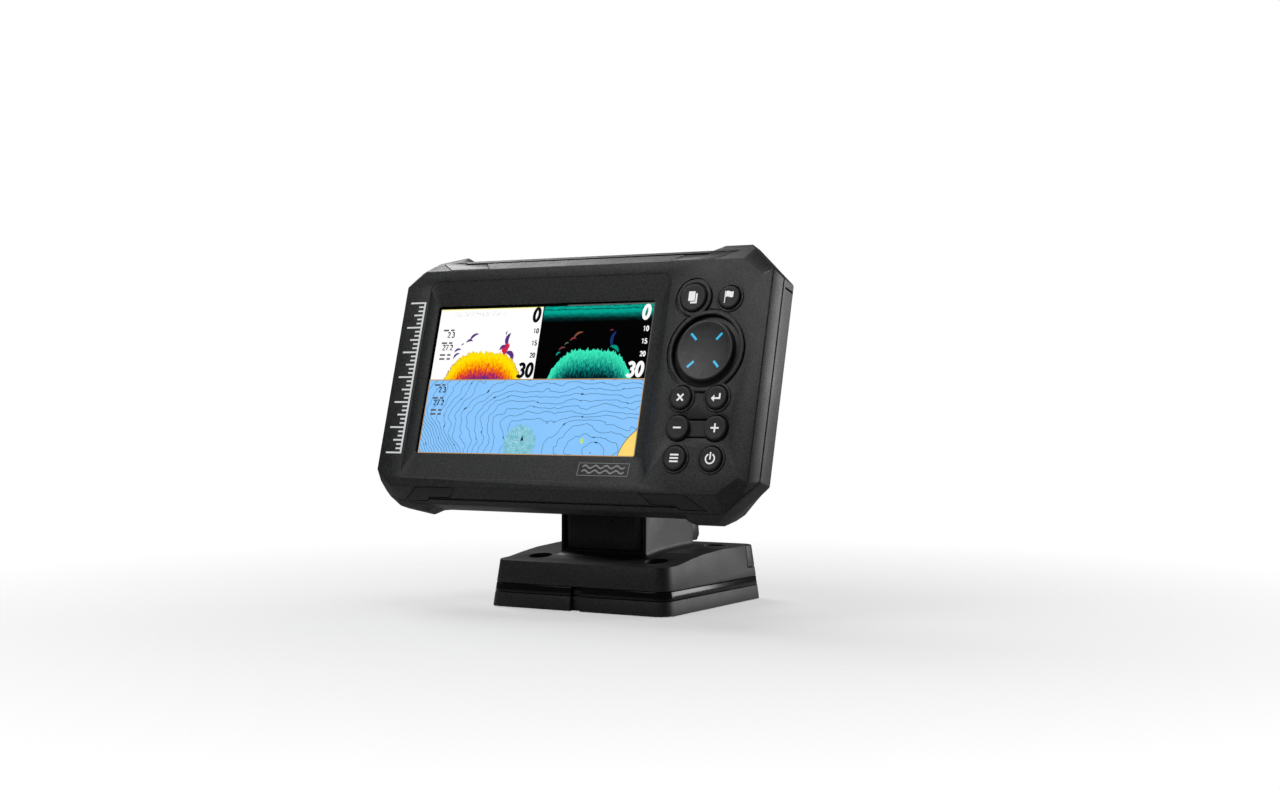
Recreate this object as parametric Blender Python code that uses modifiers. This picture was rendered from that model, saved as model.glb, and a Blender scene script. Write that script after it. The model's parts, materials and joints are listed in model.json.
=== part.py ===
"""A keypad fish finder on its tilt and swivel bench bracket.

Sizes are in millimetres until a mesh is made, and MM turns them into metres. The world frame has its
origin at the centre of the bracket's underside: +X to the viewer's right, -Y towards the viewer, +Z up.
The display unit leans back, so its pieces hang from an empty, in a frame whose Y is the depth behind the
picture, Z runs up the unit's face, and whose origin is the centre of the face outline.
"""

import math

import bmesh
import bpy
from mathutils import Matrix, Vector

MM = 0.001
GAP = 0.3
SMOOTH_ANGLE = math.radians(35)

# Bracket: a square foot with drafted walls, a glossy band and a swivelling pedestal.
FOOT_HALF = 44.5
WALL_DRAFT = 0.11
CORNER_RADIUS = 6.8
PLATE_TOP = 6.0
BAND_TOP = 9.9
PEDESTAL_BOTTOM = 10.2
PEDESTAL_TOP = [
    (-60.0, 19.2), (-39.5, 19.8), (-31.0, 20.2), (-20.0, 21.7), (-9.3, 22.9), (10.0, 23.9), (60.0, 23.9),
]  # fmt: skip
NOTCH_WIDTH = 4.8
NOTCH_DEPTH = 1.6
BENCH_HOLE = (29.0, 26.0)
BENCH_HOLE_RADIUS = 3.1
BENCH_RECESS_RADIUS = 4.8
ACCESS_HOLE_RADIUS = 5.1
DISC_RADIUS = 25.0
BOSS_RADIUS = 8.0
SWIVEL_BORE = 3.3

# Post on the pedestal, and the neck that carries the tilt bolt.
POST_HALF = 21.3
POST_FRONT, POST_SPLIT, POST_BACK = -21.7, -16.0, 19.9
COVER_HALF, COVER_FRONT, COVER_BOTTOM = 19.6, -22.2, 24.3
POST_SHOULDER, POST_TOP = 42.0, 52.0
NECK_HALF = 11.0
NECK_RADIUS = 8.5
TILT_AXIS = (0.0, -4.6, 79.8)
TILT_BACK = math.radians(15.3)
TILT_BOLT_RADIUS = 3.0

# Display unit: outline half sizes, and depths behind the picture plane.
AXIS_DEPTH, AXIS_HEIGHT = 47.0, -5.7
FACE_DEPTH = -3.0
FACE_HALF = (90.3, 48.6)
PARTING_DEPTH = 3.2
BLOCK_HALF_HEIGHT = 57.8
CHAMFER = ((77.9, 54.9), (92.3, 41.6))
LEFT_CORNER = ((92.3, 45.3), (87.8, 51.7), (81.7, 55.5))
BLOCK_CENTRE = -2.5
BLOCK_INNER = 64.5
BACK_DEPTH = 30.0
HUMP_HALF_WIDTH = (68.0, 58.0)
HUMP_BOTTOM, HUMP_TOP = (-42.0, -33.0), (46.0, 37.0)
CAVITY_HALF = (86.5, 46.2)
CAVITY_CHAMFER = (14.8, 13.6)
CORNER_NORMAL = (0.676, 0.737)
CASE_SCREW = (80.5, 43.3)

# Picture and its funnel in the bezel, all centred on this line.
PICTURE_X, PICTURE_Z = -17.7, -0.7
FUNNEL_MOUTH = ((-77.2, -44.6), (44.3, 43.5))
FUNNEL_LIP = ((-72.7, -33.7), (37.3, 32.7))
LIP_DEPTH = -1.2
FACE_BACK = -0.5

# Keys: centre X, centre Z and cap radius.
KEY_TOP = -4.3
KEY_CLEARANCE = 0.35
KEYS = {
    "pages_button": (56.2, 32.3, 5.8),
    "waypoint_button": (72.6, 32.0, 4.7),
    "exit_button": (56.4, -9.5, 4.7),
    "enter_button": (72.5, -9.4, 4.7),
    "menu_button": (57.2, -34.3, 4.9),
    "power_button": (73.3, -34.3, 4.9),
}
PAD = (64.6, 10.0)
PAD_RADIUS, PAD_SKIRT, PAD_OPENING = 12.7, 14.9, 15.2
PAD_PIVOT_DEPTH = 1.0
ZOOM = (65.2, -21.9)
ZOOM_SPAN = 8.45
ZOOM_RADIUS = 5.0
ZOOM_PIVOT_DEPTH = 0.8

# Head that carries the unit: a shoe between the case's rails, two ears and a release lever.
SHOE_HALF = 22.5
SHOE_DEPTH = (30.4, 33.9)
SHOE_SPAN = (-29.0, 20.0)
RAIL_SPAN = (-30.0, 20.0)
EAR_SPAN = (12.6, 19.0)
LEVER_PIVOT = (36.0, 16.0)
SOCKETS = {"power_socket": (-41.0, 4), "sonar_socket": (41.0, 7)}
SOCKET_Z = -10.0

FINISHES = {
    "matte_black": ((0.030, 0.031, 0.033), 0.62, 0.0),
    "satin_black": ((0.016, 0.016, 0.017), 0.38, 0.0),
    "gloss_black": ((0.008, 0.008, 0.009), 0.10, 0.0),
    "key_black": ((0.020, 0.020, 0.022), 0.50, 0.0),
    "rubber": ((0.025, 0.025, 0.027), 0.80, 0.0),
    "glass": ((0.10, 0.14, 0.18), 0.05, 0.0),
    "silicone": ((0.22, 0.23, 0.25), 0.70, 0.0),
    "board_green": ((0.02, 0.12, 0.06), 0.50, 0.0),
    "ceramic": ((0.62, 0.56, 0.44), 0.60, 0.0),
    "acetal": ((0.72, 0.71, 0.68), 0.45, 0.0),
    "steel": ((0.56, 0.56, 0.57), 0.30, 1.0),
    "stamped_metal": ((0.62, 0.63, 0.64), 0.40, 1.0),
}


# ---------------------------------------------------------------- scene and small tools


def clear_scene():
    for obj in list(bpy.data.objects):
        bpy.data.objects.remove(obj, do_unlink=True)


def new_collection(name):
    collection = bpy.data.collections.new(name)
    bpy.context.scene.collection.children.link(collection)
    return collection


def new_empty(name, parent, at, lean=0.0):
    empty = bpy.data.objects.new(name, None)
    empty.parent = parent
    empty.location = Vector(at) * MM
    empty.rotation_euler.x = -lean
    PARTS.objects.link(empty)
    return empty


def new_object(name, bm, parent, at):
    """An object of this bmesh, whose points are in the parent's millimetres, with its origin at `at`."""
    bm.normal_update()
    bmesh.ops.transform(bm, matrix=Matrix.Scale(MM, 4) @ Matrix.Translation(-Vector(at)), verts=bm.verts)
    mesh = bpy.data.meshes.new(name)
    bm.to_mesh(mesh)
    bm.free()
    obj = bpy.data.objects.new(name, mesh)
    obj.parent = parent
    obj.location = Vector(at) * MM
    return obj


def finish(obj, look):
    """Links a finished piece with a material of its own; a mesh is smooth where its faces nearly agree."""
    colour, roughness, metallic = FINISHES[look]
    material = bpy.data.materials.new(obj.name)
    material.use_nodes = True
    shader = material.node_tree.nodes["Principled BSDF"]
    shader.inputs["Base Color"].default_value = (*colour, 1.0)
    shader.inputs["Roughness"].default_value = roughness
    shader.inputs["Metallic"].default_value = metallic
    obj.data.materials.clear()
    obj.data.materials.append(material)
    if obj.type == "MESH":
        obj.data.shade_smooth()
        obj.data.set_sharp_from_angle(angle=SMOOTH_ANGLE)
    PARTS.objects.link(obj)
    return obj


def combine(target, operand, operation):
    """Cuts the operand out of the target, or joins it on, and keeps the operand as a hidden guide."""
    if operand.name not in CUTTERS.objects:
        operand.hide_render = True
        operand.display_type = "WIRE"
        CUTTERS.objects.link(operand)
    modifier = target.modifiers.new(operand.name, "BOOLEAN")
    modifier.operation = operation
    modifier.object = operand
    modifier.solver = "EXACT"
    return target


def cut(target, *operands):
    for operand in operands:
        combine(target, operand, "DIFFERENCE")
    return target


def join(target, *operands):
    for operand in operands:
        combine(target, operand, "UNION")
    return target


def box(name, low, high, parent=None, at=(0, 0, 0)):
    bm = bmesh.new()
    bmesh.ops.create_cube(bm, size=1.0)
    size = Vector(high) - Vector(low)
    middle = (Vector(high) + Vector(low)) / 2
    bmesh.ops.scale(bm, vec=size, verts=bm.verts)
    bmesh.ops.translate(bm, vec=middle, verts=bm.verts)
    return new_object(name, bm, parent, at)


def cylinder(name, radius, start, end, parent=None, at=(0, 0, 0), sides=24, end_radius=None):
    """A cylinder or cone between two points."""
    start, end = Vector(start), Vector(end)
    along = end - start
    bm = bmesh.new()
    top = radius if end_radius is None else end_radius
    bmesh.ops.create_cone(
        bm, cap_ends=True, segments=sides, radius1=radius, radius2=top, depth=along.length
    )
    turn = Vector((0, 0, 1)).rotation_difference(along).to_matrix().to_4x4()
    bmesh.ops.transform(bm, matrix=Matrix.Translation((start + end) / 2) @ turn, verts=bm.verts)
    return new_object(name, bm, parent, at)


PLANES = {
    "XY": Matrix.Identity(4),
    "XZ": Matrix.Rotation(math.radians(90), 4, "X"),
    "YZ": Matrix.Rotation(math.radians(90), 4, "Z") @ Matrix.Rotation(math.radians(90), 4, "X"),
}
NORMALS = {"XY": Vector((0, 0, 1)), "XZ": Vector((0, 1, 0)), "YZ": Vector((1, 0, 0))}


def plate(name, outline, low, high, plane="XZ", parent=None, at=(0, 0, 0)):
    """A flat outline in one plane, as a filled 2D curve, made thick from low to high across it."""
    curve = bpy.data.curves.new(name, "CURVE")
    curve.dimensions = "2D"
    curve.fill_mode = "BOTH"
    curve.extrude = (high - low) / 2
    spline = curve.splines.new("POLY")
    spline.points.add(len(outline) - 1)
    for point, (first, second) in zip(spline.points, outline):
        point.co = (first, second, 0, 1)
    spline.use_cyclic_u = True
    source = bpy.data.objects.new(name, curve)
    bpy.context.scene.collection.objects.link(source)
    graph = bpy.context.evaluated_depsgraph_get()
    flat = bpy.data.meshes.new_from_object(source.evaluated_get(graph))
    bm = bmesh.new()
    bm.from_mesh(flat)
    bpy.data.objects.remove(source)
    bpy.data.curves.remove(curve)
    bpy.data.meshes.remove(flat)
    bmesh.ops.remove_doubles(bm, verts=bm.verts, dist=0.001)
    shift = Matrix.Translation(NORMALS[plane] * (low + high) / 2)
    bmesh.ops.transform(bm, matrix=shift @ PLANES[plane], verts=bm.verts)
    bmesh.ops.recalc_face_normals(bm, faces=bm.faces)
    return new_object(name, bm, parent, at)


def loft(name, sections, parent=None, at=(0, 0, 0)):
    """A skin over closed sections that have the same number of points, closed at both ends."""
    bm = bmesh.new()
    rings = [[bm.verts.new(point) for point in section] for section in sections]
    for front, back in zip(rings, rings[1:]):
        for i in range(len(front)):
            j = (i + 1) % len(front)
            bm.faces.new((front[i], front[j], back[j], back[i]))
    bm.faces.new(rings[0])
    bm.faces.new(rings[-1])
    bmesh.ops.recalc_face_normals(bm, faces=bm.faces)
    return new_object(name, bm, parent, at)


def turned(name, profile, parent=None, at=(0, 0, 0), turn=None, steps=24):
    """A profile of (radius, height) points, top to bottom down its outer side, spun about its own Z."""
    bm = bmesh.new()
    closed = profile[0] == profile[-1]
    verts = [bm.verts.new((radius, 0, height)) for radius, height in profile[: len(profile) - closed]]
    for first, second in zip(verts, verts[1:] + verts[: int(closed)]):
        bm.edges.new((first, second))
    obj = new_object(name, bm, parent, (0, 0, 0))
    obj.location = Vector(at) * MM
    if turn is not None:
        obj.rotation_euler = turn
    screw = obj.modifiers.new("spin", "SCREW")
    screw.steps = screw.render_steps = steps
    screw.use_merge_vertices = True
    screw.merge_threshold = 0.00001
    return obj


def coil(name, radius, wire, low, high, turns, parent, at, turn=None):
    """A helical spring about its own Z, as a round wire with filled ends."""
    per_turn = 10
    count = turns * per_turn
    curve = bpy.data.curves.new(name, "CURVE")
    curve.dimensions = "3D"
    curve.bevel_depth = wire * MM
    curve.bevel_resolution = 2
    curve.use_fill_caps = True
    spline = curve.splines.new("POLY")
    spline.points.add(count)
    for i, point in enumerate(spline.points):
        angle = 2 * math.pi * i / per_turn
        height = low + (high - low) * i / count
        point.co = (radius * math.cos(angle) * MM, radius * math.sin(angle) * MM, height * MM, 1)
    obj = bpy.data.objects.new(name, curve)
    obj.parent = parent
    obj.location = Vector(at) * MM
    if turn is not None:
        obj.rotation_euler = turn
    return obj


# ---------------------------------------------------------------- outlines


def rounded(half_x, half_y, radius, steps=6):
    """A rectangle with round corners about the origin, anticlockwise."""
    points = []
    for quarter, (sx, sy) in enumerate(((1, 1), (-1, 1), (-1, -1), (1, -1))):
        for step in range(steps + 1):
            angle = math.radians(90) * (quarter + step / steps)
            x = sx * (half_x - radius) + radius * math.cos(angle)
            y = sy * (half_y - radius) + radius * math.sin(angle)
            points.append((x, y))
    return points


def chamfered(low, high, cut_x, cut_z):
    """A rectangle with its corners cut off, anticlockwise."""
    (x0, z0), (x1, z1) = low, high
    return [
        (x1, z0 + cut_z), (x1, z1 - cut_z), (x1 - cut_x, z1), (x0 + cut_x, z1),
        (x0, z1 - cut_z), (x0, z0 + cut_z), (x0 + cut_x, z0), (x1 - cut_x, z0),
    ]  # fmt: skip


def arc(centre, radius, start, end, steps):
    """Points on an arc, with its angles in degrees."""
    points = []
    for step in range(steps + 1):
        angle = math.radians(start + (end - start) * step / steps)
        points.append((centre[0] + radius * math.cos(angle), centre[1] + radius * math.sin(angle)))
    return points


def capsule(centre, span, radius, steps=12):
    """Two round ends joined by straight sides."""
    right = arc((centre[0] + span, centre[1]), radius, -90, 90, steps)
    left = arc((centre[0] - span, centre[1]), radius, 90, 270, steps)
    return right + left


def dog_bone(centre, span, radius, waist, steps=12):
    """Two round lobes joined by a narrower web."""
    lean = math.degrees(math.asin(waist / radius))
    right = arc((centre[0] + span, centre[1]), radius, lean - 180, 180 - lean, 2 * steps)
    left = arc((centre[0] - span, centre[1]), radius, lean, 360 - lean, 2 * steps)
    return right + left


def at_height(outline, z):
    return [(x, y, z) for x, y in outline]


def at_depth(outline, y):
    return [(x, y, z) for x, z in outline]


def foot_outline(z, inset=0.0):
    """The bracket's drafted outline at one height."""
    half = FOOT_HALF - WALL_DRAFT * z - inset
    return rounded(half, half, max(CORNER_RADIUS - inset, 1.0))


def both_halves(top):
    """The outline whose upper half, left to right, is given: its lower half mirrors it."""
    return top + [(x, -z) for x, z in reversed(top)]


def face_outline():
    """The flat face: plain cut corners on the left, notched by a facet on the right."""
    width, height = FACE_HALF
    left, right = BLOCK_CENTRE - BLOCK_INNER, BLOCK_CENTRE + BLOCK_INNER
    return both_halves([
        (-width, 41.5), (-86.0, 45.05), (-81.7, height), (left, height), (left + 4.5, height),
        (right - 4.5, height), (right, height), (76.8, height), (85.9, 41.5), (width, 44.0),
    ])  # fmt: skip


def unit_outline(middle, block, inset=0.0):
    """The outline behind the face: half height in the middle, half height at the corner blocks."""
    (chamfer_x, chamfer_z), (side_x, side_z) = CHAMFER
    slope = (chamfer_z - side_z) / (side_x - chamfer_x)
    top_x = chamfer_x - (block - chamfer_z) / slope - 0.6 * inset
    side_x, side_z = side_x - inset, side_z - 0.4 * inset
    left, right = BLOCK_CENTRE - BLOCK_INNER, BLOCK_CENTRE + BLOCK_INNER
    halfway = ((side_x + top_x) / 2, (side_z + block) / 2)
    foot = LEFT_CORNER[0][1]
    lift = (block - foot) / (BLOCK_HALF_HEIGHT - foot)
    left_corner = [(inset - x, foot + (z - foot) * lift - 0.4 * inset) for x, z in LEFT_CORNER]
    return both_halves([
        *left_corner, (left, block), (left + 4.5, middle),
        (right - 4.5, middle), (right, block), (top_x, block), halfway, (side_x, side_z),
    ])  # fmt: skip


def cavity_outline(grow=0.0, corner_grow=0.0):
    """The hollow's outline, with its straight sides and its cut corners moved out by amounts of their own."""
    width, height = CAVITY_HALF[0] + grow, CAVITY_HALF[1] + grow
    across, up = CORNER_NORMAL
    spare = grow * (across + up) - corner_grow
    cut_x, cut_z = CAVITY_CHAMFER
    return chamfered((-width, -height), (width, height), cut_x + spare / across, cut_z + spare / up)


# ---------------------------------------------------------------- bracket


def bench_holes(name, radius, low, high):
    hole_x, hole_y = BENCH_HOLE
    holes = []
    for i, (sx, sy) in enumerate(((1, 1), (-1, 1), (-1, -1), (1, -1))):
        x, y = sx * hole_x, sy * hole_y
        holes.append(cylinder(f"{name}_{i}", radius, (x, y, low), (x, y, high), sides=20))
    return holes


def front_notch(name):
    depth = FOOT_HALF - WALL_DRAFT * BAND_TOP - NOTCH_DEPTH
    half = NOTCH_WIDTH / 2
    return box(name, (-half, -FOOT_HALF - 2, -1), (half, -depth, BAND_TOP + 0.2))


def make_foot():
    plate_body = loft("base_plate", [at_height(foot_outline(z), z) for z in (0, PLATE_TOP)])
    boss = cylinder("base_boss", BOSS_RADIUS, (0, 0, 4), (0, 0, BAND_TOP))
    join(plate_body, boss)
    cut(plate_body, cylinder("boss_thread", SWIVEL_BORE, (0, 0, 2.2), (0, 0, 12)), front_notch("plate_notch"))
    cut(plate_body, *bench_holes("bench_hole", BENCH_HOLE_RADIUS, -1, 7))
    cut(plate_body, *bench_holes("bench_recess", BENCH_RECESS_RADIUS, 3.0, 7))
    finish(plate_body, "matte_black")

    band = loft(
        "base_band",
        [at_height(foot_outline(z), z) for z in (PLATE_TOP + GAP, BAND_TOP)],
    )
    cut(band, plate("band_inside", rounded(36.0, 36.0, 4.0), 5, 11, "XY"), front_notch("band_notch"))
    finish(band, "gloss_black")

    disc = turned(
        "turntable_disc",
        [(BOSS_RADIUS + GAP, BAND_TOP), (DISC_RADIUS, BAND_TOP), (DISC_RADIUS, PLATE_TOP + GAP),
         (BOSS_RADIUS + GAP, PLATE_TOP + GAP), (BOSS_RADIUS + GAP, BAND_TOP)],
        steps=40,
    )  # fmt: skip
    for i in range(12):
        angle = math.radians(30 * i)
        groove = cylinder(
            f"detent_{i}",
            0.7,
            (15.5 * math.cos(angle), 15.5 * math.sin(angle), BAND_TOP + 0.25),
            (22.5 * math.cos(angle), 22.5 * math.sin(angle), BAND_TOP + 0.25),
            sides=6,
        )
        cut(disc, groove)
    finish(disc, "acetal")


def post_outline(half, front, back, radius):
    """A rectangle in plan, rounded at the front and square at the back."""
    right_corner = arc((half - radius, front + radius), radius, -90, 0, 5)
    left_corner = arc((-half + radius, front + radius), radius, 180, 270, 5)
    return left_corner + right_corner + [(half, back), (-half, back)]


def front_slope(name):
    """What is cut off the post's front above its shoulder, to clear the unit when it tilts forward."""
    slope = [(COVER_FRONT, POST_SHOULDER), (POST_SPLIT, POST_TOP)]
    outline = [(-60, POST_SHOULDER), *slope, (POST_SPLIT, 60), (-60, 60)]
    return plate(name, outline, -30, 30, "YZ")


def make_pedestal():
    body = loft("pedestal", [at_height(foot_outline(z), z) for z in (PEDESTAL_BOTTOM, 27.0)])
    above = [(y, z) for y, z in PEDESTAL_TOP] + [(60, 40), (-60, 40)]
    cut(body, plate("pedestal_crown", above, -60, 60, "YZ"))

    outline = post_outline(POST_HALF, POST_FRONT, POST_BACK, 0.6)
    post = plate("post_core", outline, PEDESTAL_BOTTOM + 4, POST_TOP, "XY")
    neck = plate("neck_web", rounded(NECK_HALF, NECK_RADIUS, 1.5, 2), POST_TOP - 4, TILT_AXIS[2], "XY")
    neck.location.y = TILT_AXIS[1] * MM
    knuckle = cylinder(
        "neck_knuckle", NECK_RADIUS, (-NECK_HALF, *TILT_AXIS[1:]), (NECK_HALF, *TILT_AXIS[1:]), sides=40
    )
    join(body, post, neck, knuckle)
    cut(body, front_slope("core_slope"))

    hollow = loft(
        "pedestal_hollow",
        [at_height(foot_outline(9.0, 5.0), 9.0), at_height(foot_outline(15.8, 5.0), 15.8)],
    )
    hub = cylinder("pedestal_hub", DISC_RADIUS + 1, (0, 0, 8), (0, 0, 17), sides=48)
    cut(hollow, hub)
    cut(body, hollow)

    seat_half = COVER_HALF + GAP
    seat = box("cover_seat", (-seat_half, -40, COVER_BOTTOM - GAP), (seat_half, POST_SPLIT, POST_TOP + 5))
    cut(body, seat)
    inside = box("post_inside", (-17, POST_SPLIT - 2, 14.5), (17, 15.0, 48))
    cut(body, inside)
    slot = box("slider_slot", (-4.3, 13.0, 9.0), (4.3, 24.0, 41.0))
    cut(body, slot, cylinder("swivel_bore", SWIVEL_BORE, (0, 0, 5), (0, 0, 16)))
    cut(body, *bench_holes("access_hole", ACCESS_HOLE_RADIUS, 8, 30))
    axle = [(-NECK_HALF - 2, *TILT_AXIS[1:]), (NECK_HALF + 2, *TILT_AXIS[1:])]
    cut(body, cylinder("neck_bore", TILT_BOLT_RADIUS + GAP, *axle))
    cut(body, release_tab_shape("tab_pocket", GAP))
    finish(body, "matte_black")

    outline = post_outline(COVER_HALF, COVER_FRONT, POST_SPLIT - GAP, 4.0)
    cover = plate("post_front_cover", outline, COVER_BOTTOM, POST_TOP, "XY")
    cover_hollow = box("cover_hollow", (-16.5, COVER_FRONT + 2.4, 27), (16.5, POST_SPLIT + 1, 44))
    cut(cover, front_slope("cover_slope"), cover_hollow)
    finish(cover, "matte_black")


def release_tab_shape(name, grow=0.0):
    """The back wall and both back corners of the pedestal's skirt, as a thin shell."""
    front, low = 31.3 - grow, 14.3 - grow
    inset = 3.0 + grow
    outer = [at_height(foot_outline(z, -grow * 20), z) for z in (low, 27.0)]
    tab = loft(name, outer)
    inner = loft(f"{name}_inner", [at_height(foot_outline(z, inset), z) for z in (low - 1, 28.0)])
    ahead = box(f"{name}_ahead", (-60, -60, 0), (60, front, 40))
    above = [(y, z + grow * 20) for y, z in PEDESTAL_TOP] + [(60, 40), (-60, 40)]
    cut(tab, inner, ahead, plate(f"{name}_crown", above, -60, 60, "YZ"))
    return tab


def make_pedestal_pieces():
    finish(release_tab_shape("base_release_tab"), "matte_black")

    screw = turned(
        "swivel_screw",
        [(0, 20.5), (5.4, 20.5), (6.0, 19.6), (6.0, 16.4), (3.0, 16.4), (3.0, 2.6), (0, 2.6)],
    )
    cut(screw, cylinder("screw_drive", 2.4, (0, 0, 18.2), (0, 0, 22), sides=6))
    finish(screw, "steel")
    washer = [(SWIVEL_BORE, 16.1), (8.5, 16.1), (8.5, 14.8), (SWIVEL_BORE, 14.8), (SWIVEL_BORE, 16.1)]
    finish(turned("swivel_washer", washer), "steel")

    slider = box("swivel_lock_slider", (-4.0, 15.3, 10.2), (4.0, 20.8, 36.0))
    outline = [(20.2, 26.0), (25.6, 26.0), (27.6, 28.4), (27.0, 32.6), (24.6, 34.4), (20.2, 34.4)]
    grip = plate("slider_grip", outline, -20.5, 20.5, "YZ")
    shelf = box("slider_shelf", (-3.4, 9.0, 28.0), (3.4, 16.0, 30.0))
    finish(join(slider, grip, shelf), "satin_black")
    spring = coil("swivel_lock_spring", 2.4, 0.4, 30.8, 47.2, 6, None, (0, 12.2, 0))
    finish(spring, "steel")


# ---------------------------------------------------------------- display unit housing


def funnel(name, unit):
    """The sloping picture recess, wider at the face than at its lip."""
    def ring(corners, depth):
        (x0, z0), (x1, z1) = corners
        return at_depth(chamfered((x0, z0), (x1, z1), 3.0, 3.0), depth)

    slope = [ring(FUNNEL_LIP, LIP_DEPTH), ring(FUNNEL_MOUTH, FACE_DEPTH), ring(FUNNEL_MOUTH, FACE_DEPTH - 2)]
    return loft(name, slope, unit)


def bevel_frame(side, distance, rise=0.0):
    """Depth and height of a point on the top or bottom bevel, this far down its slope from the face edge."""
    diagonal = math.sqrt(0.5)
    depth = FACE_DEPTH + distance * diagonal - rise * diagonal
    return depth, side * (FACE_HALF[1] + distance * diagonal + rise * diagonal)


def trim_outline(hand, grow=0.0):
    """The L-shaped corner trim, as (X, distance down the bevel): wide by the face, narrow further out."""
    shape = [
        (45.2 - grow, 0.5 - grow), (65.6 + 0.5 * grow, 0.5 - grow), (73.6 + 2.7 * grow, 7.3 + grow),
        (61.9 - grow, 7.3 + grow), (59.9 - grow, 5.2 + grow), (49.7 - grow, 5.2 + grow),
    ]  # fmt: skip
    return [(BLOCK_CENTRE + hand * x, s) for x, s in shape]


def trim_shape(name, unit, hand, side, grow=0.0, proud=0.0, sunk=0.9):
    outline = trim_outline(hand, grow)
    sections = []
    for rise in (proud, -sunk - grow):
        section = []
        for x, distance in outline:
            depth, height = bevel_frame(side, distance, rise)
            section.append((x, depth, height))
        sections.append(section)
    return loft(name, sections, unit)


CORNERS = {"left_top": (-1, 1), "right_top": (1, 1), "left_bottom": (-1, -1), "right_bottom": (1, -1)}


def key_ring(name, x, z, radius, unit):
    """A low raised lip round a key's hole."""
    profile = [(0, 0.45), (radius + 0.9, 0.45), (radius + 1.2, -0.8), (0, -0.8)]
    return turned(name, profile, unit, (x, FACE_DEPTH, z), (math.radians(90), 0, 0))


def make_bezel(unit):
    bezel = loft(
        "front_bezel",
        [at_depth(face_outline(), FACE_DEPTH), at_depth(unit_outline(54.8, 54.9), PARTING_DEPTH)],
        unit,
    )
    hollow = plate("bezel_hollow", cavity_outline(), FACE_BACK, PARTING_DEPTH + 2, "XZ", unit)
    groove = plate("gasket_groove", cavity_outline(2.3, 2.3), 1.7, PARTING_DEPTH + 2, "XZ", unit)
    (x0, z0), (x1, z1) = FUNNEL_LIP
    picture = box("picture_opening", (x0, LIP_DEPTH - 1, z0), (x1, 1, z1), unit)
    cut(bezel, hollow, groove, funnel("picture_funnel", unit), picture)
    for name, (x, z, radius) in KEYS.items():
        hole = radius + KEY_CLEARANCE
        join(bezel, key_ring(f"{name}_lip", x, z, hole, unit))
    join(bezel, key_ring("pad_lip", *PAD, PAD_OPENING, unit))
    for name, (x, z, radius) in KEYS.items():
        hole = radius + KEY_CLEARANCE
        cut(bezel, cylinder(f"{name}_hole", hole, (x, -8, z), (x, 4, z), unit))
    cut(bezel, cylinder("pad_hole", PAD_OPENING, (PAD[0], -8, PAD[1]), (PAD[0], 4, PAD[1]), unit, sides=40))
    zoom_hole = dog_bone(ZOOM, ZOOM_SPAN, ZOOM_RADIUS + 0.5, 3.9)
    cut(bezel, plate("zoom_hole", zoom_hole, -8, 4, "XZ", unit))
    for name, (hand, side) in CORNERS.items():
        cut(bezel, trim_shape(f"{name}_pocket", unit, hand, side, GAP, 1.0))
    for name, (hand, side) in CORNERS.items():
        x, z = hand * CASE_SCREW[0], side * CASE_SCREW[1]
        cut(bezel, cylinder(f"{name}_thread", 1.3, (x, 0.3, z), (x, 6, z), unit, sides=16))
    finish(bezel, "matte_black")
    for name, (hand, side) in CORNERS.items():
        finish(trim_shape(f"{name}_trim", unit, hand, side), "satin_black")


def case_rail(name, hand, unit):
    """One L-shaped rail on the case's back, which holds an edge of the head's shoe."""
    inner, lip, outer = SHOE_HALF + 0.4, EAR_SPAN[1] + 1.0, 26.5
    low, back = BACK_DEPTH - 1, SHOE_DEPTH[1] + 0.4
    outline = [(inner, low), (inner, back), (lip, back), (lip, 37.0), (outer, 37.0), (outer, low)]
    return plate(name, [(hand * x, y) for x, y in outline], *RAIL_SPAN, "XY", unit)


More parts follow.
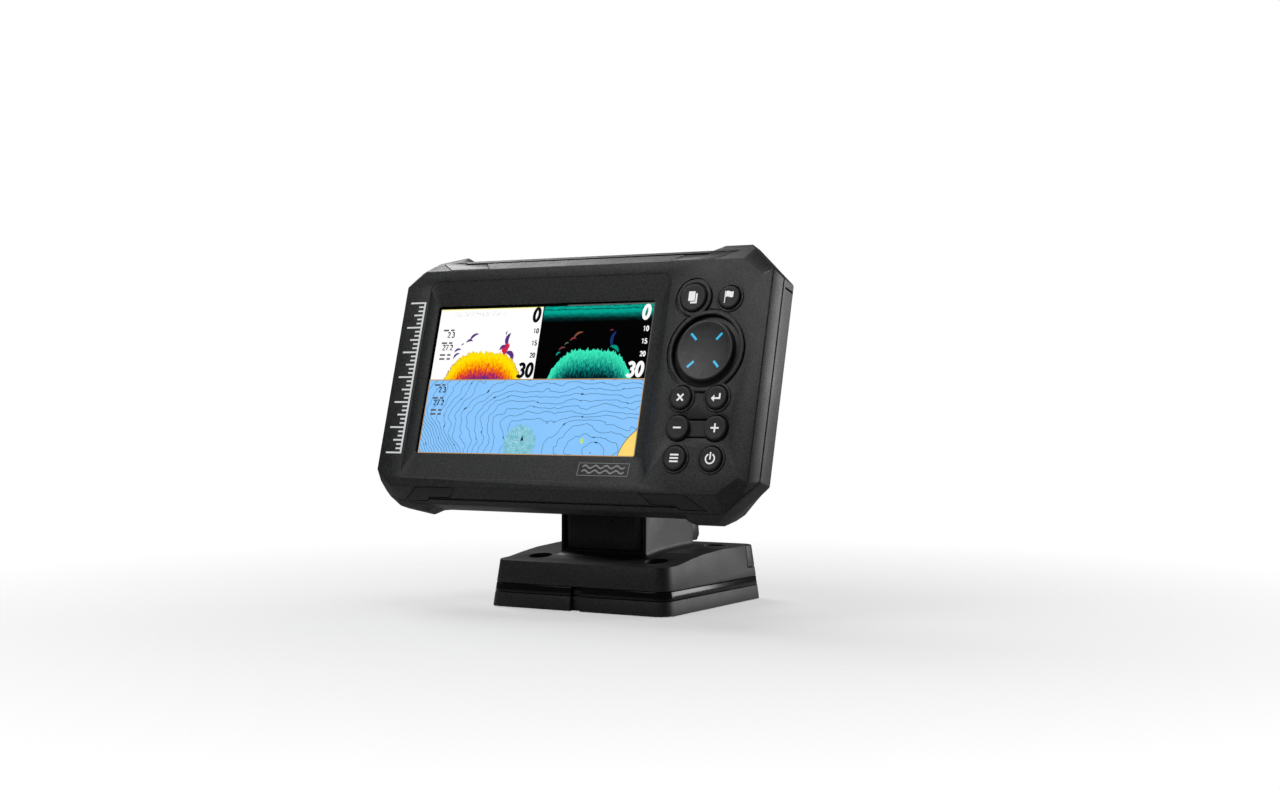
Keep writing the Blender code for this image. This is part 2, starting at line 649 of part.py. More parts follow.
def make_rear_case(unit):
    case = loft(
        "rear_case",
        [
            at_depth(unit_outline(54.8, 54.9), PARTING_DEPTH + GAP),
            at_depth(unit_outline(55.0, BLOCK_HALF_HEIGHT), 6.4),
            at_depth(unit_outline(55.0, BLOCK_HALF_HEIGHT), 12.5),
            at_depth(unit_outline(54.2, 54.4, 3.6), 18.6),
            at_depth(unit_outline(51.0, 51.2, 5.0), 21.0),
        ],
        unit,
    )
    wide, narrow = HUMP_HALF_WIDTH
    low, high = HUMP_BOTTOM[1], HUMP_TOP[1]
    edge = 1.5
    hump = loft(
        "case_hump",
        [
            at_depth(chamfered((-wide, HUMP_BOTTOM[0]), (wide, HUMP_TOP[0]), 9, 9), 17.0),
            at_depth(chamfered((-narrow, low), (narrow, high), 8, 8), BACK_DEPTH - edge),
            at_depth(chamfered((edge - narrow, low + edge), (narrow - edge, high - edge), 7, 7), BACK_DEPTH),
        ],
        unit,
    )
    join(case, hump, case_rail("left_rail", -1, unit), case_rail("right_rail", 1, unit))
    for hand in (-1, 1):
        low_x, high_x = sorted((6.0 * hand, 26.5 * hand))
        stop = ((low_x, BACK_DEPTH - 1, RAIL_SPAN[1] + GAP), (high_x, 33.9, 24.0))
        join(case, box(f"rail_stop_{hand}", *stop, unit))

    mouth = plate("case_mouth", cavity_outline(), 2, 7, "XZ", unit)
    wide_hollow = loft(
        "case_hollow",
        [at_depth(cavity_outline(3.0), 6.0), at_depth(cavity_outline(1.5), 18.0)],
        unit,
    )
    hump_hollow = loft(
        "hump_hollow",
        [
            at_depth(chamfered((-62, -37), (62, 41), 8, 8), 16.0),
            at_depth(chamfered((-54.5, -30), (54.5, 34), 7, 7), BACK_DEPTH - 2.6),
        ],
        unit,
    )
    cut(case, mouth, wide_hollow, hump_hollow)
    for name, (x, _) in SOCKETS.items():
        cut(case, cylinder(f"{name}_hole", 10.8, (x, 20, SOCKET_Z), (x, 40, SOCKET_Z), unit))
    for name, (hand, side) in CORNERS.items():
        x, z = hand * CASE_SCREW[0], side * CASE_SCREW[1]
        cut(
            case,
            cylinder(f"{name}_screw_hole", 1.4, (x, 2, z), (x, 24, z), unit, sides=16),
            cylinder(f"{name}_head_recess", 3.0, (x, 12.0, z), (x, 24, z), unit, sides=20),
        )
    cut(case, box("catch_notch", (-4.0, 28.4, 0.0), (4.0, BACK_DEPTH + 1, 6.0), unit))
    cut(case, box("card_pocket", (69.2, 19.0, -13.3), (84.3, 30, 13.3), unit))
    cut(case, box("card_window", (71.5, 10, -10), (82.5, 30, 10), unit))
    cut(case, box("side_groove", (91.3, 5.2, 37.8), (94, 12.6, 38.7), unit))
    finish(case, "matte_black")


def make_case_pieces(unit):
    ring = plate("case_gasket", cavity_outline(2.0, 2.0), 2.0, 3.3, "XZ", unit)
    finish(cut(ring, plate("gasket_inside", cavity_outline(0.9, 0.9), 0, 5, "XZ", unit)), "silicone")
    for name, (hand, side) in CORNERS.items():
        x, z = hand * CASE_SCREW[0], side * CASE_SCREW[1]
        profile = [(0, 14.0), (2.6, 14.0), (2.6, 12.3), (1.0, 12.3), (1.0, 0.8), (0, 0.8)]
        screw = turned(f"case_screw_{name}", profile, unit, (x, 0, z), (math.radians(-90), 0, 0), 12)
        slot = cylinder(f"{name}_drive", 1.3, (x, 13.1, z), (x, 15, z), unit, sides=6)
        finish(cut(screw, slot), "steel")

    door = box("card_door", (69.6, 19.4, -12.9), (83.9, 20.9, 12.9), unit, (69.6, 20.9, 0))
    finger = box("card_door_finger", (82.0, 20.4, -4), (83.9, 22.4, 4), unit)
    finish(join(door, finger), "rubber")
    reader = box("card_reader", (72.5, 9.9, -9), (81.5, 18.9, 9), unit)
    finish(cut(reader, box("card_slot", (76.4, 11.6, -6), (77.6, 20, 6), unit)), "stamped_metal")

    for name, (x, pins) in SOCKETS.items():
        profile = [
            (0, 24.5), (8.0, 24.5), (8.0, 34.0), (10.0, 34.0), (10.4, 33.6), (10.4, 32.0), (12.6, 32.0),
            (12.6, 30.3), (10.4, 30.3), (10.4, 9.9), (0, 9.9),
        ]  # fmt: skip
        socket = turned(name, profile, unit, (x, 0, SOCKET_Z), (math.radians(-90), 0, 0), 28)
        for i in range(pins):
            angle = 2 * math.pi * i / pins
            px, pz = x + 4.2 * math.cos(angle), SOCKET_Z + 4.2 * math.sin(angle)
            join(socket, cylinder(f"{name}_pin_{i}", 0.7, (px, 23, pz), (px, 28.5, pz), unit, sides=6))
        finish(socket, "satin_black")


def make_electronics(unit):
    glass = box("display_window", (FUNNEL_LIP[0][0] - 1.8, -0.2, FUNNEL_LIP[0][1] - 1.8),
                (FUNNEL_LIP[1][0] + 1.8, 0.7, FUNNEL_LIP[1][1] + 1.8), unit)  # fmt: skip
    finish(glass, "glass")
    low, high = (PICTURE_X - 60.3, 1.0, PICTURE_Z - 36), (PICTURE_X + 59.2, 4.0, PICTURE_Z + 36.5)
    panel = box("lcd_panel", low, high, unit)
    finish(panel, "satin_black")
    tray = box("lcd_frame", (-79.0, 4.3, -37.5), (42.5, 5.5, 36.5), unit)
    cut(tray, plate("frame_window", rounded(40, 22, 5, 4), 3, 7, "XZ", unit))
    finish(tray, "stamped_metal")
    board = box("main_board", (-74, 8.0, -35), (82, 9.6, 35), unit)
    for i, (x, z, half) in enumerate(((-8, 4, 9), (18, 18, 6), (-16, -24, 6), (40, 16, 5))):
        join(board, box(f"chip_{i}", (x - half, 9, z - half), (x + half, 11.2, z + half), unit))
    finish(board, "board_green")
    finish(box("gps_antenna", (-50, 9.9, 8), (-25, 14, 33), unit), "ceramic")
    buzzer = [(0, 14.2), (5.8, 14.2), (6.5, 13.5), (6.5, 9.9), (0, 9.9)]
    finish(turned("buzzer", buzzer, unit, (10, 0, -22), (math.radians(-90), 0, 0), 24), "satin_black")


# ---------------------------------------------------------------- keys


def keymat_outline(inset=0.0):
    return chamfered((47 + inset, -40 + inset), (82 - inset, 39 - inset), 9, 9)


def make_keypad(unit):
    mat = plate("keymat", keymat_outline(), 2.4, 3.2, "XZ", unit)
    for name, (x, z, _) in KEYS.items():
        join(mat, cylinder(f"{name}_dome", 3.2, (x, 3.0, z), (x, 1.9, z), unit, sides=20, end_radius=2.2))
    cut(mat, cylinder("carrier_hole", 6, (PAD[0], 0, PAD[1]), (PAD[0], 6, PAD[1]), unit))
    finish(mat, "silicone")
    finish(plate("key_board", keymat_outline(), 3.5, 4.9, "XZ", unit), "board_green")

    for name, (x, z, radius) in KEYS.items():
        profile = [
            (0, -KEY_TOP), (radius - 0.7, -KEY_TOP), (radius, -KEY_TOP - 0.6), (radius, 0.2),
            (radius + 1.0, 0.2), (radius + 1.0, -0.5), (2.2, -0.5), (2.2, -0.9), (0, -0.9),
        ]  # fmt: skip
        finish(turned(name, profile, unit, (x, 0, z), (math.radians(90), 0, 0)), "key_black")

    zoom_x, zoom_z = ZOOM
    pivot = (zoom_x, ZOOM_PIVOT_DEPTH, zoom_z)
    minus_x, plus_x = zoom_x - ZOOM_SPAN, zoom_x + ZOOM_SPAN
    caps = [((x, KEY_TOP, zoom_z), (x, 0.9, zoom_z)) for x in (minus_x, plus_x)]
    rocker = cylinder("zoom_rocker", ZOOM_RADIUS, *caps[0], unit, pivot)
    plus = cylinder("zoom_plus", ZOOM_RADIUS, *caps[1], unit)
    web = box("zoom_web", (minus_x, -2.4, zoom_z - 3.4), (plus_x, 0.9, zoom_z + 3.4), unit)
    flange = plate("zoom_flange", capsule(ZOOM, ZOOM_SPAN, ZOOM_RADIUS + 1), 0.5, 1.2, "XZ", unit)
    finish(join(rocker, plus, web, flange), "key_black")

    pivot = (PAD[0], PAD_PIVOT_DEPTH, PAD[1])
    carrier = cylinder("pad_gimbal", 4.0, (PAD[0], 1.5, PAD[1]), (PAD[0], 3.2, PAD[1]), unit, pivot, 24)
    finish(carrier, "acetal")
    depth = PAD_PIVOT_DEPTH
    profile = [
        (0, depth - KEY_TOP - 0.8), (8.0, depth - KEY_TOP - 0.5), (PAD_RADIUS - 0.8, depth - KEY_TOP),
        (PAD_RADIUS, depth - KEY_TOP - 0.7), (PAD_RADIUS, depth + 1.9), (PAD_SKIRT, depth + 1.5),
        (PAD_SKIRT, depth - 0.4), (PAD_OPENING + 1, depth - 0.4), (PAD_OPENING + 1, depth - 1.1),
        (0, depth - 1.1),
    ]  # fmt: skip
    pad = turned("direction_pad", profile, unit, pivot, (math.radians(90), 0, 0), 36)
    for name in ("exit_button", "enter_button"):
        x, z, radius = KEYS[name]
        cut(pad, cylinder(f"{name}_relief", radius + 1.6, (x, -2, z), (x, 4, z), unit))
    finish(pad, "key_black")


# ---------------------------------------------------------------- head on the post


def make_head(unit):
    axis = (AXIS_DEPTH, AXIS_HEIGHT)
    (front, back), (low, high) = SHOE_DEPTH, SHOE_SPAN
    shoe = box("tilt_head", (-SHOE_HALF, front, low), (SHOE_HALF, back, high), unit, (0, *axis))
    for hand in (-1, 1):
        low_x, high_x = sorted((hand * EAR_SPAN[0], hand * EAR_SPAN[1]))
        outline = [(32.5, -26.0)] + arc(axis, 9.0, -60, 60, 12) + [(32.5, 14.0)]
        join(shoe, plate(f"ear_{hand}", outline, low_x, high_x, "YZ", unit))
        low_x, high_x = sorted((hand * 5.4, hand * 8.4))
        outline = [(33, 12), *arc(LEVER_PIVOT, 2.6, -60, 60, 6), (33, 20)]
        join(shoe, plate(f"lug_{hand}", outline, low_x, high_x, "YZ", unit))
    ends = [(-30, *axis), (30, *axis)]
    cut(shoe, cylinder("ear_bore", TILT_BOLT_RADIUS + GAP, *ends, unit))
    cut(shoe, cylinder("lug_bore", 1.2 + GAP, (-9, *LEVER_PIVOT), (9, *LEVER_PIVOT), unit, sides=16))
    cut(shoe, box("tooth_slot", (-3.8, 29, -0.5), (3.8, 35, 6.5), unit))
    finish(shoe, "satin_black")

    pivot = (0, *LEVER_PIVOT)
    pin = cylinder("release_lever_pin", 1.2, (-9.2, *LEVER_PIVOT), (12.3, *LEVER_PIVOT), unit, pivot, 16)
    finish(pin, "steel")
    lever_profile = [
        (34.4, 1.0), (37.4, 1.0), (37.4, 12.4), (39.0, 14.0), (39.0, 18.0), (37.4, 20.0), (37.4, 28.0),
        (40.8, 31.0), (40.8, 36.0), (34.4, 36.0),
    ]  # fmt: skip
    lever = plate("release_lever", lever_profile, -5, 5, "YZ", unit, (0, *LEVER_PIVOT))
    tooth = box("lever_tooth", (-3.2, 29.2, 1.0), (3.2, 35.5, 4.0), unit)
    join(lever, tooth)
    cut(lever, cylinder("lever_bore", 1.2 + GAP, (-9, *LEVER_PIVOT), (9, *LEVER_PIVOT), unit, sides=16))
    finish(lever, "satin_black")
    along_x = (0, math.radians(90), 0)
    spring = coil("release_spring", 1.65, 0.25, 8.9, 12.0, 3, unit, (0, *LEVER_PIVOT), along_x)
    finish(spring, "steel")

    for side, hand in (("left", -1), ("right", 1)):
        low_x, high_x = sorted((hand * (NECK_HALF + GAP), hand * (EAR_SPAN[0] - GAP)))
        profile = [(3.3, high_x), (7.5, high_x), (7.5, low_x), (3.3, low_x), (3.3, high_x)]
        washer = turned(f"friction_washer_{side}", profile, unit, (0, *axis), (0, math.radians(90), 0))
        finish(washer, "acetal")
    bolt = cylinder("tilt_bolt", TILT_BOLT_RADIUS, (-22, *axis), (25.5, *axis), unit, (0, *axis), 24)
    head = cylinder("tilt_bolt_head", 5.8, (-23.5, *axis), (-EAR_SPAN[1] - GAP, *axis), unit, sides=6)
    finish(join(bolt, head), "steel")
    nut = cylinder("tilt_nut", 5.8, (EAR_SPAN[1] + GAP, *axis), (24.3, *axis), unit, (0, *axis), 6)
    finish(cut(nut, cylinder("nut_bore", TILT_BOLT_RADIUS + GAP, *ends, unit, sides=24)), "steel")


clear_scene()
PARTS = new_collection("fish_finder")
CUTTERS = new_collection("cutters")
tilt_axis = new_empty("tilt_axis", None, TILT_AXIS, TILT_BACK)
display_frame = new_empty("display_frame", tilt_axis, (0, -AXIS_DEPTH, -AXIS_HEIGHT))

make_foot()
make_pedestal()
make_pedestal_pieces()
make_bezel(display_frame)
make_rear_case(display_frame)
make_case_pieces(display_frame)
make_electronics(display_frame)
make_keypad(display_frame)
make_head(display_frame)
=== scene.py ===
import json
import math

import bmesh
import bpy
from mathutils import Matrix, Vector

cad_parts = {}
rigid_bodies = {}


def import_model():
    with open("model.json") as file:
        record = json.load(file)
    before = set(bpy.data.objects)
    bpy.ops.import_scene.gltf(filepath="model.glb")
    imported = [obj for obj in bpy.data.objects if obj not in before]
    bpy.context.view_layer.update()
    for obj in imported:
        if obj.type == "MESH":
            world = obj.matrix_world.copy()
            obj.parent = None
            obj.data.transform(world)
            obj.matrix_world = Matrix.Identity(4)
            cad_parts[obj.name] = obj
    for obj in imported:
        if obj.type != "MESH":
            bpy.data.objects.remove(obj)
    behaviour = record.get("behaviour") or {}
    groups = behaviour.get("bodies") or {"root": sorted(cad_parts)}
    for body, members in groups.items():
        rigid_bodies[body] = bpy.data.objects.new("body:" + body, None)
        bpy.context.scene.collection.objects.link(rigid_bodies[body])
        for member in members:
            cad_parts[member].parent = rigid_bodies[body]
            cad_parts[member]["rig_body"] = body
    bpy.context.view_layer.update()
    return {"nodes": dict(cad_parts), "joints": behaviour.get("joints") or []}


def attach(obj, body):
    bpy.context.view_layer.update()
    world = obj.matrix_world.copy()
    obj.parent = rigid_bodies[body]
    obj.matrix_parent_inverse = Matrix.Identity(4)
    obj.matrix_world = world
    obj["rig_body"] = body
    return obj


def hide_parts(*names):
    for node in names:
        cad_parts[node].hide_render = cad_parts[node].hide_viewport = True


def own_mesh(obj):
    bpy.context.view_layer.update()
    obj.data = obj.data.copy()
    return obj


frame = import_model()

# A keypad fish finder on its bench bracket.
# Shapes are drawn in millimetres and become metres when a mesh is made.
# Pieces of the display unit are drawn in the unit's own axes: X to the right, Y the depth behind the picture,
# Z up the face, from the centre of the face outline.

MM = 0.001
JOINTS = {joint["name"]: joint for joint in frame["joints"]}

# Unit frame, from the frame's joints: how far the tilt axis lies behind and below the face centre.
AXIS_DEPTH, AXIS_HEIGHT = 47.0, -5.7
INTO = Vector(JOINTS["pages_press"]["axis"]).normalized()
UP = Vector(JOINTS["zoom_rock"]["axis"]).normalized()
RIGHT = Vector((1.0, 0.0, 0.0))
TILT_POINT = Vector(JOINTS["tilt"]["pos_m"])
UNIT_ORIGIN = TILT_POINT - (INTO * AXIS_DEPTH + UP * AXIS_HEIGHT) * MM
UNIT = Matrix.Translation(UNIT_ORIGIN) @ Matrix((RIGHT, INTO, UP)).transposed().to_4x4()
WORLD = Matrix.Identity(4)

# Housing, in the unit's millimetres.
FACE = -3.0
FACE_BACK = -0.5
PARTING = 3.2
GAP = 0.3
FACE_HALF = (90.3, 48.6)
BEVEL_MIDDLE, BEVEL_BLOCK = 54.8, 54.9
BLOCK_TOP = 57.8
BLOCK_CENTRE, BLOCK_INNER, BLOCK_STEP = -2.5, 64.5, 4.5
CHAMFER = ((77.9, 54.9), (92.3, 41.6))
LEFT_CORNER = ((92.3, 45.3), (87.8, 51.7), (81.7, 55.5))
CAVITY_HALF = (86.5, 46.2)
CAVITY_CHAMFER = (14.8, 13.6)
CORNER_NORMAL = (0.676, 0.737)
CASE_SCREW = (80.5, 43.3)
GROOVE = (5.5, 6.65)
GROOVE_REACH = 61.0
BACK = 30.0

# Picture recess and the lit area.
MOUTH = ((-77.2, -44.6), (44.3, 43.5))
LIP = ((-72.7, -33.7), (37.3, 32.7))
LIP_DEPTH = -1.2
PICTURE_CENTRE = (-17.7, -0.7)
PICTURE_HALF = (54.0, 32.4)
GLASS_FRONT = -0.2

# Keys: centre X, centre Z, cap radius and the outer radius of the raised ring.
KEY_TOP = -4.3
KEY_CLEARANCE = 0.35
KEYS = {
    "pages_button": (56.2, 32.3, 5.8, 7.9),
    "waypoint_button": (72.6, 32.0, 4.7, 6.1),
    "exit_button": (56.4, -9.5, 4.7, 6.1),
    "enter_button": (72.5, -9.4, 4.7, 6.1),
    "menu_button": (57.2, -34.3, 4.9, 6.2),
    "power_button": (73.3, -34.3, 4.9, 6.2),
}
PAD = (64.6, 10.0)
PAD_RADIUS, PAD_OPENING, PAD_RING = 12.7, 15.2, 17.0
# The pad's dish: distance from its centre and depth behind its rim.
PAD_DISH = [(1.5, 0.79), (4.0, 0.72), (8.0, 0.5), (10.4, 0.22), (11.7, 0.03)]
ZOOM = (65.2, -21.9)
ZOOM_SPAN, ZOOM_RADIUS = 8.45, 5.0

# Crown of the pedestal, which rises from the front to the back: depth and height.
CROWN = [(-60.0, 19.2), (-39.5, 19.8), (-31.0, 20.2), (-20.0, 21.7), (-9.3, 22.9), (10.0, 23.9), (60.0, 23.9)]


# ---------------------------------------------------------------- shapes


def as_object(name, bm, place):
    """An object of a bmesh in millimetres, set in the unit's axes or in the world's."""
    bmesh.ops.scale(bm, vec=(MM, MM, MM), verts=bm.verts)
    bmesh.ops.recalc_face_normals(bm, faces=bm.faces)
    mesh = bpy.data.meshes.new(name)
    bm.to_mesh(mesh)
    bm.free()
    mesh.transform(place)
    obj = bpy.data.objects.new(name, mesh)
    bpy.context.scene.collection.objects.link(obj)
    return obj


def evaluated(obj):
    """The object with its modifiers worked into its mesh."""
    graph = bpy.context.evaluated_depsgraph_get()
    mesh = bpy.data.meshes.new_from_object(obj.evaluated_get(graph))
    obj.modifiers.clear()
    old = obj.data
    obj.data = mesh
    mesh.name = obj.name
    if old.users == 0:
        bpy.data.meshes.remove(old)
    return obj


def bevelled(obj, width, angle=30):
    modifier = obj.modifiers.new("edges", "BEVEL")
    modifier.width = width * MM
    modifier.segments = 3
    modifier.limit_method = "ANGLE"
    modifier.angle_limit = math.radians(angle)
    return evaluated(obj)


def carve(target, tools, operation="DIFFERENCE"):
    for tool in tools:
        modifier = target.modifiers.new(tool.name, "BOOLEAN")
        modifier.operation = operation
        modifier.object = tool
        modifier.solver = "EXACT"
    evaluated(target)
    for tool in tools:
        bpy.data.objects.remove(tool, do_unlink=True)
    return target


def smooth(obj, angle=32):
    obj.data.shade_smooth()
    obj.data.set_sharp_from_angle(angle=math.radians(angle))
    return obj


def arc(centre, radius, start, end, steps):
    points = []
    for step in range(steps + 1):
        angle = math.radians(start + (end - start) * step / steps)
        points.append((centre[0] + radius * math.cos(angle), centre[1] + radius * math.sin(angle)))
    return points


def bar(x0, z0, x1, z1):
    """A plain rectangle, anticlockwise."""
    return [(x0, z0), (x1, z0), (x1, z1), (x0, z1)]


def rounded(low, high, radius, steps=6):
    """A rectangle with round corners, anticlockwise."""
    (x0, z0), (x1, z1) = low, high
    r = radius
    return (
        arc((x1 - r, z1 - r), r, 0, 90, steps)
        + arc((x0 + r, z1 - r), r, 90, 180, steps)
        + arc((x0 + r, z0 + r), r, 180, 270, steps)
        + arc((x1 - r, z0 + r), r, 270, 360, steps)
    )


def chamfered(low, high, cut_x, cut_z):
    (x0, z0), (x1, z1) = low, high
    return [
        (x1, z0 + cut_z), (x1, z1 - cut_z), (x1 - cut_x, z1), (x0 + cut_x, z1),
        (x0, z1 - cut_z), (x0, z0 + cut_z), (x0 + cut_x, z0), (x1 - cut_x, z0),
    ]


def at_depth(outline, y):
    return [(x, y, z) for x, z in outline]


def at_height(outline, z):
    return [(x, y, z) for x, y in outline]


def between(points, x):
    """The value at x along a row of (x, value) points, and the last value beyond them."""
    for (x0, value0), (x1, value1) in zip(points, points[1:]):
        if x <= x1:
            return value0 + (value1 - value0) * (x - x0) / (x1 - x0)
    return points[-1][1]


def add_loft(bm, sections):
    """One closed solid through a row of sections with equal numbers of points."""
    rings = [[bm.verts.new(point) for point in section] for section in sections]
    for front, back in zip(rings, rings[1:]):
        for i in range(len(front)):
            j = (i + 1) % len(front)
            bm.faces.new((front[i], front[j], back[j], back[i]))
    bm.faces.new(rings[0])
    bm.faces.new(rings[-1])


def loft(name, sections, place=UNIT):
    bm = bmesh.new()
    add_loft(bm, sections)
    return as_object(name, bm, place)


def prisms(name, outlines, y0, y1, place=UNIT):
    """Flat outlines, drawn out from one depth to another, as one object."""
    bm = bmesh.new()
    for outline in outlines:
        add_loft(bm, [at_depth(outline, y0), at_depth(outline, y1)])
    return as_object(name, bm, place)


def prism(name, outline, y0, y1, place=UNIT):
    return prisms(name, [outline], y0, y1, place)


def box(name, low, high, place=UNIT):
    (x0, y0, z0), (x1, y1, z1) = low, high
    return prism(name, bar(x0, z0, x1, z1), y0, y1, place)


def lathe(name, profile, centre, sides=48):
    """A profile of (radius, depth) points turned about the unit's depth, with flat ends."""
    return loft(name, [at_depth(arc(centre, radius, 0, 360, sides)[:-1], y) for radius, y in profile])


def hole(name, centre, radius, deep, sides=48):
    """A cutter for a round hole in the face, flared so that the hole's rim is round."""
    rim = FACE - 0.45
    profile = [(radius, deep), (radius, rim + 0.3), (radius + 0.09, rim + 0.08), (radius + 0.3, rim - 0.02),
               (radius + 0.3, rim - 3.0)]
    return lathe(name, profile, centre, sides)


# ---------------------------------------------------------------- materials


class Signal:
    """A number that a material's nodes work out, so that plain sums can be written with it."""

    def __init__(self, nodes, socket):
        self.nodes, self.socket = nodes, socket

    def __add__(self, other):
        return self.nodes.math("ADD", self, other)

    def __sub__(self, other):
        return self.nodes.math("SUBTRACT", self, other)

    def __rsub__(self, other):
        return self.nodes.math("SUBTRACT", other, self)

    def __mul__(self, other):
        return self.nodes.math("MULTIPLY", self, other)

    def __truediv__(self, other):
        return self.nodes.math("DIVIDE", self, other)

    def __pow__(self, other):
        return self.nodes.math("POWER", self, other)

    def __abs__(self):
        return self.nodes.math("ABSOLUTE", self)

    def at_least(self, low):
        return self.nodes.math("MAXIMUM", self, low)

    def root(self):
        return self.nodes.math("SQRT", self)

    def from_half(self):
        """How far the fraction lies from a half."""
        return abs(self.nodes.math("FRACT", self) - 0.5)


class Nodes:
    """A material's node tree, with short ways to add nodes and join them."""

    def __init__(self, name):
        self.material = bpy.data.materials.new(name)
        self.material.use_nodes = True
        self.tree = self.material.node_tree
        self.shader = self.tree.nodes["Principled BSDF"]

    def add(self, kind, **settings):
        node = self.tree.nodes.new(kind)
        for key, value in settings.items():
            setattr(node, key, value)
        return node

    def join(self, source, target):
        """Sets a socket to a number or a colour, or links it to what another node gives."""
        if isinstance(source, (int, float)):
            target.default_value = source
        elif isinstance(source, tuple):
            target.default_value = (*source, 1.0)
        else:
            self.tree.links.new(source.socket if isinstance(source, Signal) else source, target)

    def set(self, **values):
        """Sets or links sockets of the shader by name."""
        for key, value in values.items():
            self.join(value, self.shader.inputs[key.replace("_", " ")])

    def place(self):
        return self.add("ShaderNodeTexCoord").outputs["Object"]

    def stretched(self, scale):
        """The place, stretched by three factors."""
        node = self.add("ShaderNodeMapping")
        node.inputs["Scale"].default_value = scale
        self.join(self.place(), node.inputs["Vector"])
        return node.outputs["Vector"]

    def math(self, operation, *values):
        node = self.add("ShaderNodeMath", operation=operation)
        for socket, value in zip(node.inputs, values):
            self.join(value, socket)
        return Signal(self, node.outputs[0])

    def noise(self, scale, detail=2.0, roughness=0.5, where=None):
        node = self.add("ShaderNodeTexNoise")
        for key, value in (("Scale", scale), ("Detail", detail), ("Roughness", roughness)):
            node.inputs[key].default_value = value
        self.join(where or self.place(), node.inputs["Vector"])
        return Signal(self, node.outputs["Fac"])

    def cells(self, scale, where=None):
        node = self.add("ShaderNodeTexVoronoi")
        node.inputs["Scale"].default_value = scale
        self.join(where or self.place(), node.inputs["Vector"])
        return Signal(self, node.outputs["Distance"])

    def ramp(self, value, stops):
        """A colour for each value from nought to one, by stops of a position and a colour."""
        node = self.add("ShaderNodeValToRGB")
        elements = node.color_ramp.elements
        while len(elements) > 1:
            elements.remove(elements[-1])
        for i, (position, colour) in enumerate(stops):
            element = elements[0] if i == 0 else elements.new(position)
            element.position = position
            element.color = (*colour, 1.0)
        self.join(value, node.inputs["Fac"])
        return node.outputs["Color"]

    def range(self, value, low, high, to_low=0.0, to_high=1.0):
        node = self.add("ShaderNodeMapRange")
        for key, number in (("From Min", low), ("From Max", high), ("To Min", to_low), ("To Max", to_high)):
            node.inputs[key].default_value = number
        self.join(value, node.inputs["Value"])
        return Signal(self, node.outputs["Result"])

    def mix(self, factor, first, second):
        node = self.add("ShaderNodeMix", data_type="RGBA")
        colours = [s for s in node.inputs if s.type == "RGBA"]
        for socket, value in ((node.inputs[0], factor), (colours[0], first), (colours[1], second)):
            self.join(value, socket)
        return [s for s in node.outputs if s.type == "RGBA"][0]

    def bump(self, height, strength, distance):
        """Small relief, its distance in millimetres."""
        node = self.add("ShaderNodeBump")
        node.inputs["Strength"].default_value = strength
        node.inputs["Distance"].default_value = distance * MM
        self.join(height, node.inputs["Height"])
        self.join(node.outputs["Normal"], self.shader.inputs["Normal"])


def shade(colour, factor, more=0.0):
    return tuple(c * factor + more for c in colour)


def moulded(name, colour, roughness, grain, depth):
    """Injection-moulded plastic: a spark-eroded grain, a little mottling and pale worn spots."""
    n = Nodes(name)
    fine = n.cells(grain)
    cloud = n.noise(55.0, 4.0, 0.6)
    speck = n.noise(grain * 0.7, 1.0, 0.6)
    tone = n.mix(n.range(speck, 0.36, 0.66), shade(colour, 0.62), shade(colour, 1.75, 0.002))
    tone = n.mix(n.range(cloud, 0.4, 0.75, 0.0, 0.3), tone, shade(colour, 1.5))
    rough = n.range(cloud + fine * 0.35, 0.4, 1.0, roughness - 0.06, roughness + 0.08)
    n.set(Base_Color=tone, Roughness=rough)
    n.bump(fine + speck * 1.4, 0.5, depth)
    return n.material


def glossy(name, colour, roughness, haze=0.04):
    """Polished plastic: nearly a mirror, with a faint orange peel and fine hairline marks."""
    n = Nodes(name)
    cloud = n.noise(90.0, 3.0, 0.5)
    hair = n.noise(650.0, 2.0, 0.7, n.stretched((1.0, 1.0, 14.0)))
    tone = n.mix(n.range(cloud, 0.3, 0.7), shade(colour, 0.8), shade(colour, 1.3))
    n.set(Base_Color=tone, Roughness=n.range(hair, 0.35, 0.75, roughness, roughness + haze))
    n.set(Specular_IOR_Level=0.35)
    n.bump(cloud, 0.08, 0.02)
    return n.material


def soft_rubber(name, colour, roughness):
    """Soft-touch rubber: very fine stipple, a little lint and a faint sheen."""
    n = Nodes(name)
    lint = n.noise(300.0, 5.0, 0.7)
    tone = n.mix(n.range(lint, 0.4, 0.75), colour, shade(colour, 1.7, 0.002))
    n.set(Base_Color=tone, Roughness=n.range(lint, 0.3, 0.7, roughness - 0.05, roughness + 0.07))
    n.set(Sheen_Weight=0.12, Sheen_Roughness=0.5)
    n.bump(n.cells(5200.0), 0.25, 0.03)
    return n.material


def brushed(name, colour, roughness, along=(1.0, 1.0, 60.0)):
    """Machined or drawn metal, with fine lines across one axis."""
    n = Nodes(name)
    lines = n.noise(260.0, 4.0, 0.65, n.stretched(along))
    stain = n.noise(140.0, 3.0, 0.5)
    tone = n.mix(n.range(lines, 0.3, 0.7), shade(colour, 0.82), colour)
    tone = n.mix(n.range(stain, 0.6, 0.8, 0.0, 0.35), tone, shade(colour, 0.55))
    rough = n.range(lines, 0.3, 0.7, roughness - 0.07, roughness + 0.1)
    n.set(Base_Color=tone, Roughness=rough, Metallic=1.0)
    n.bump(lines, 0.2, 0.02)
    return n.material


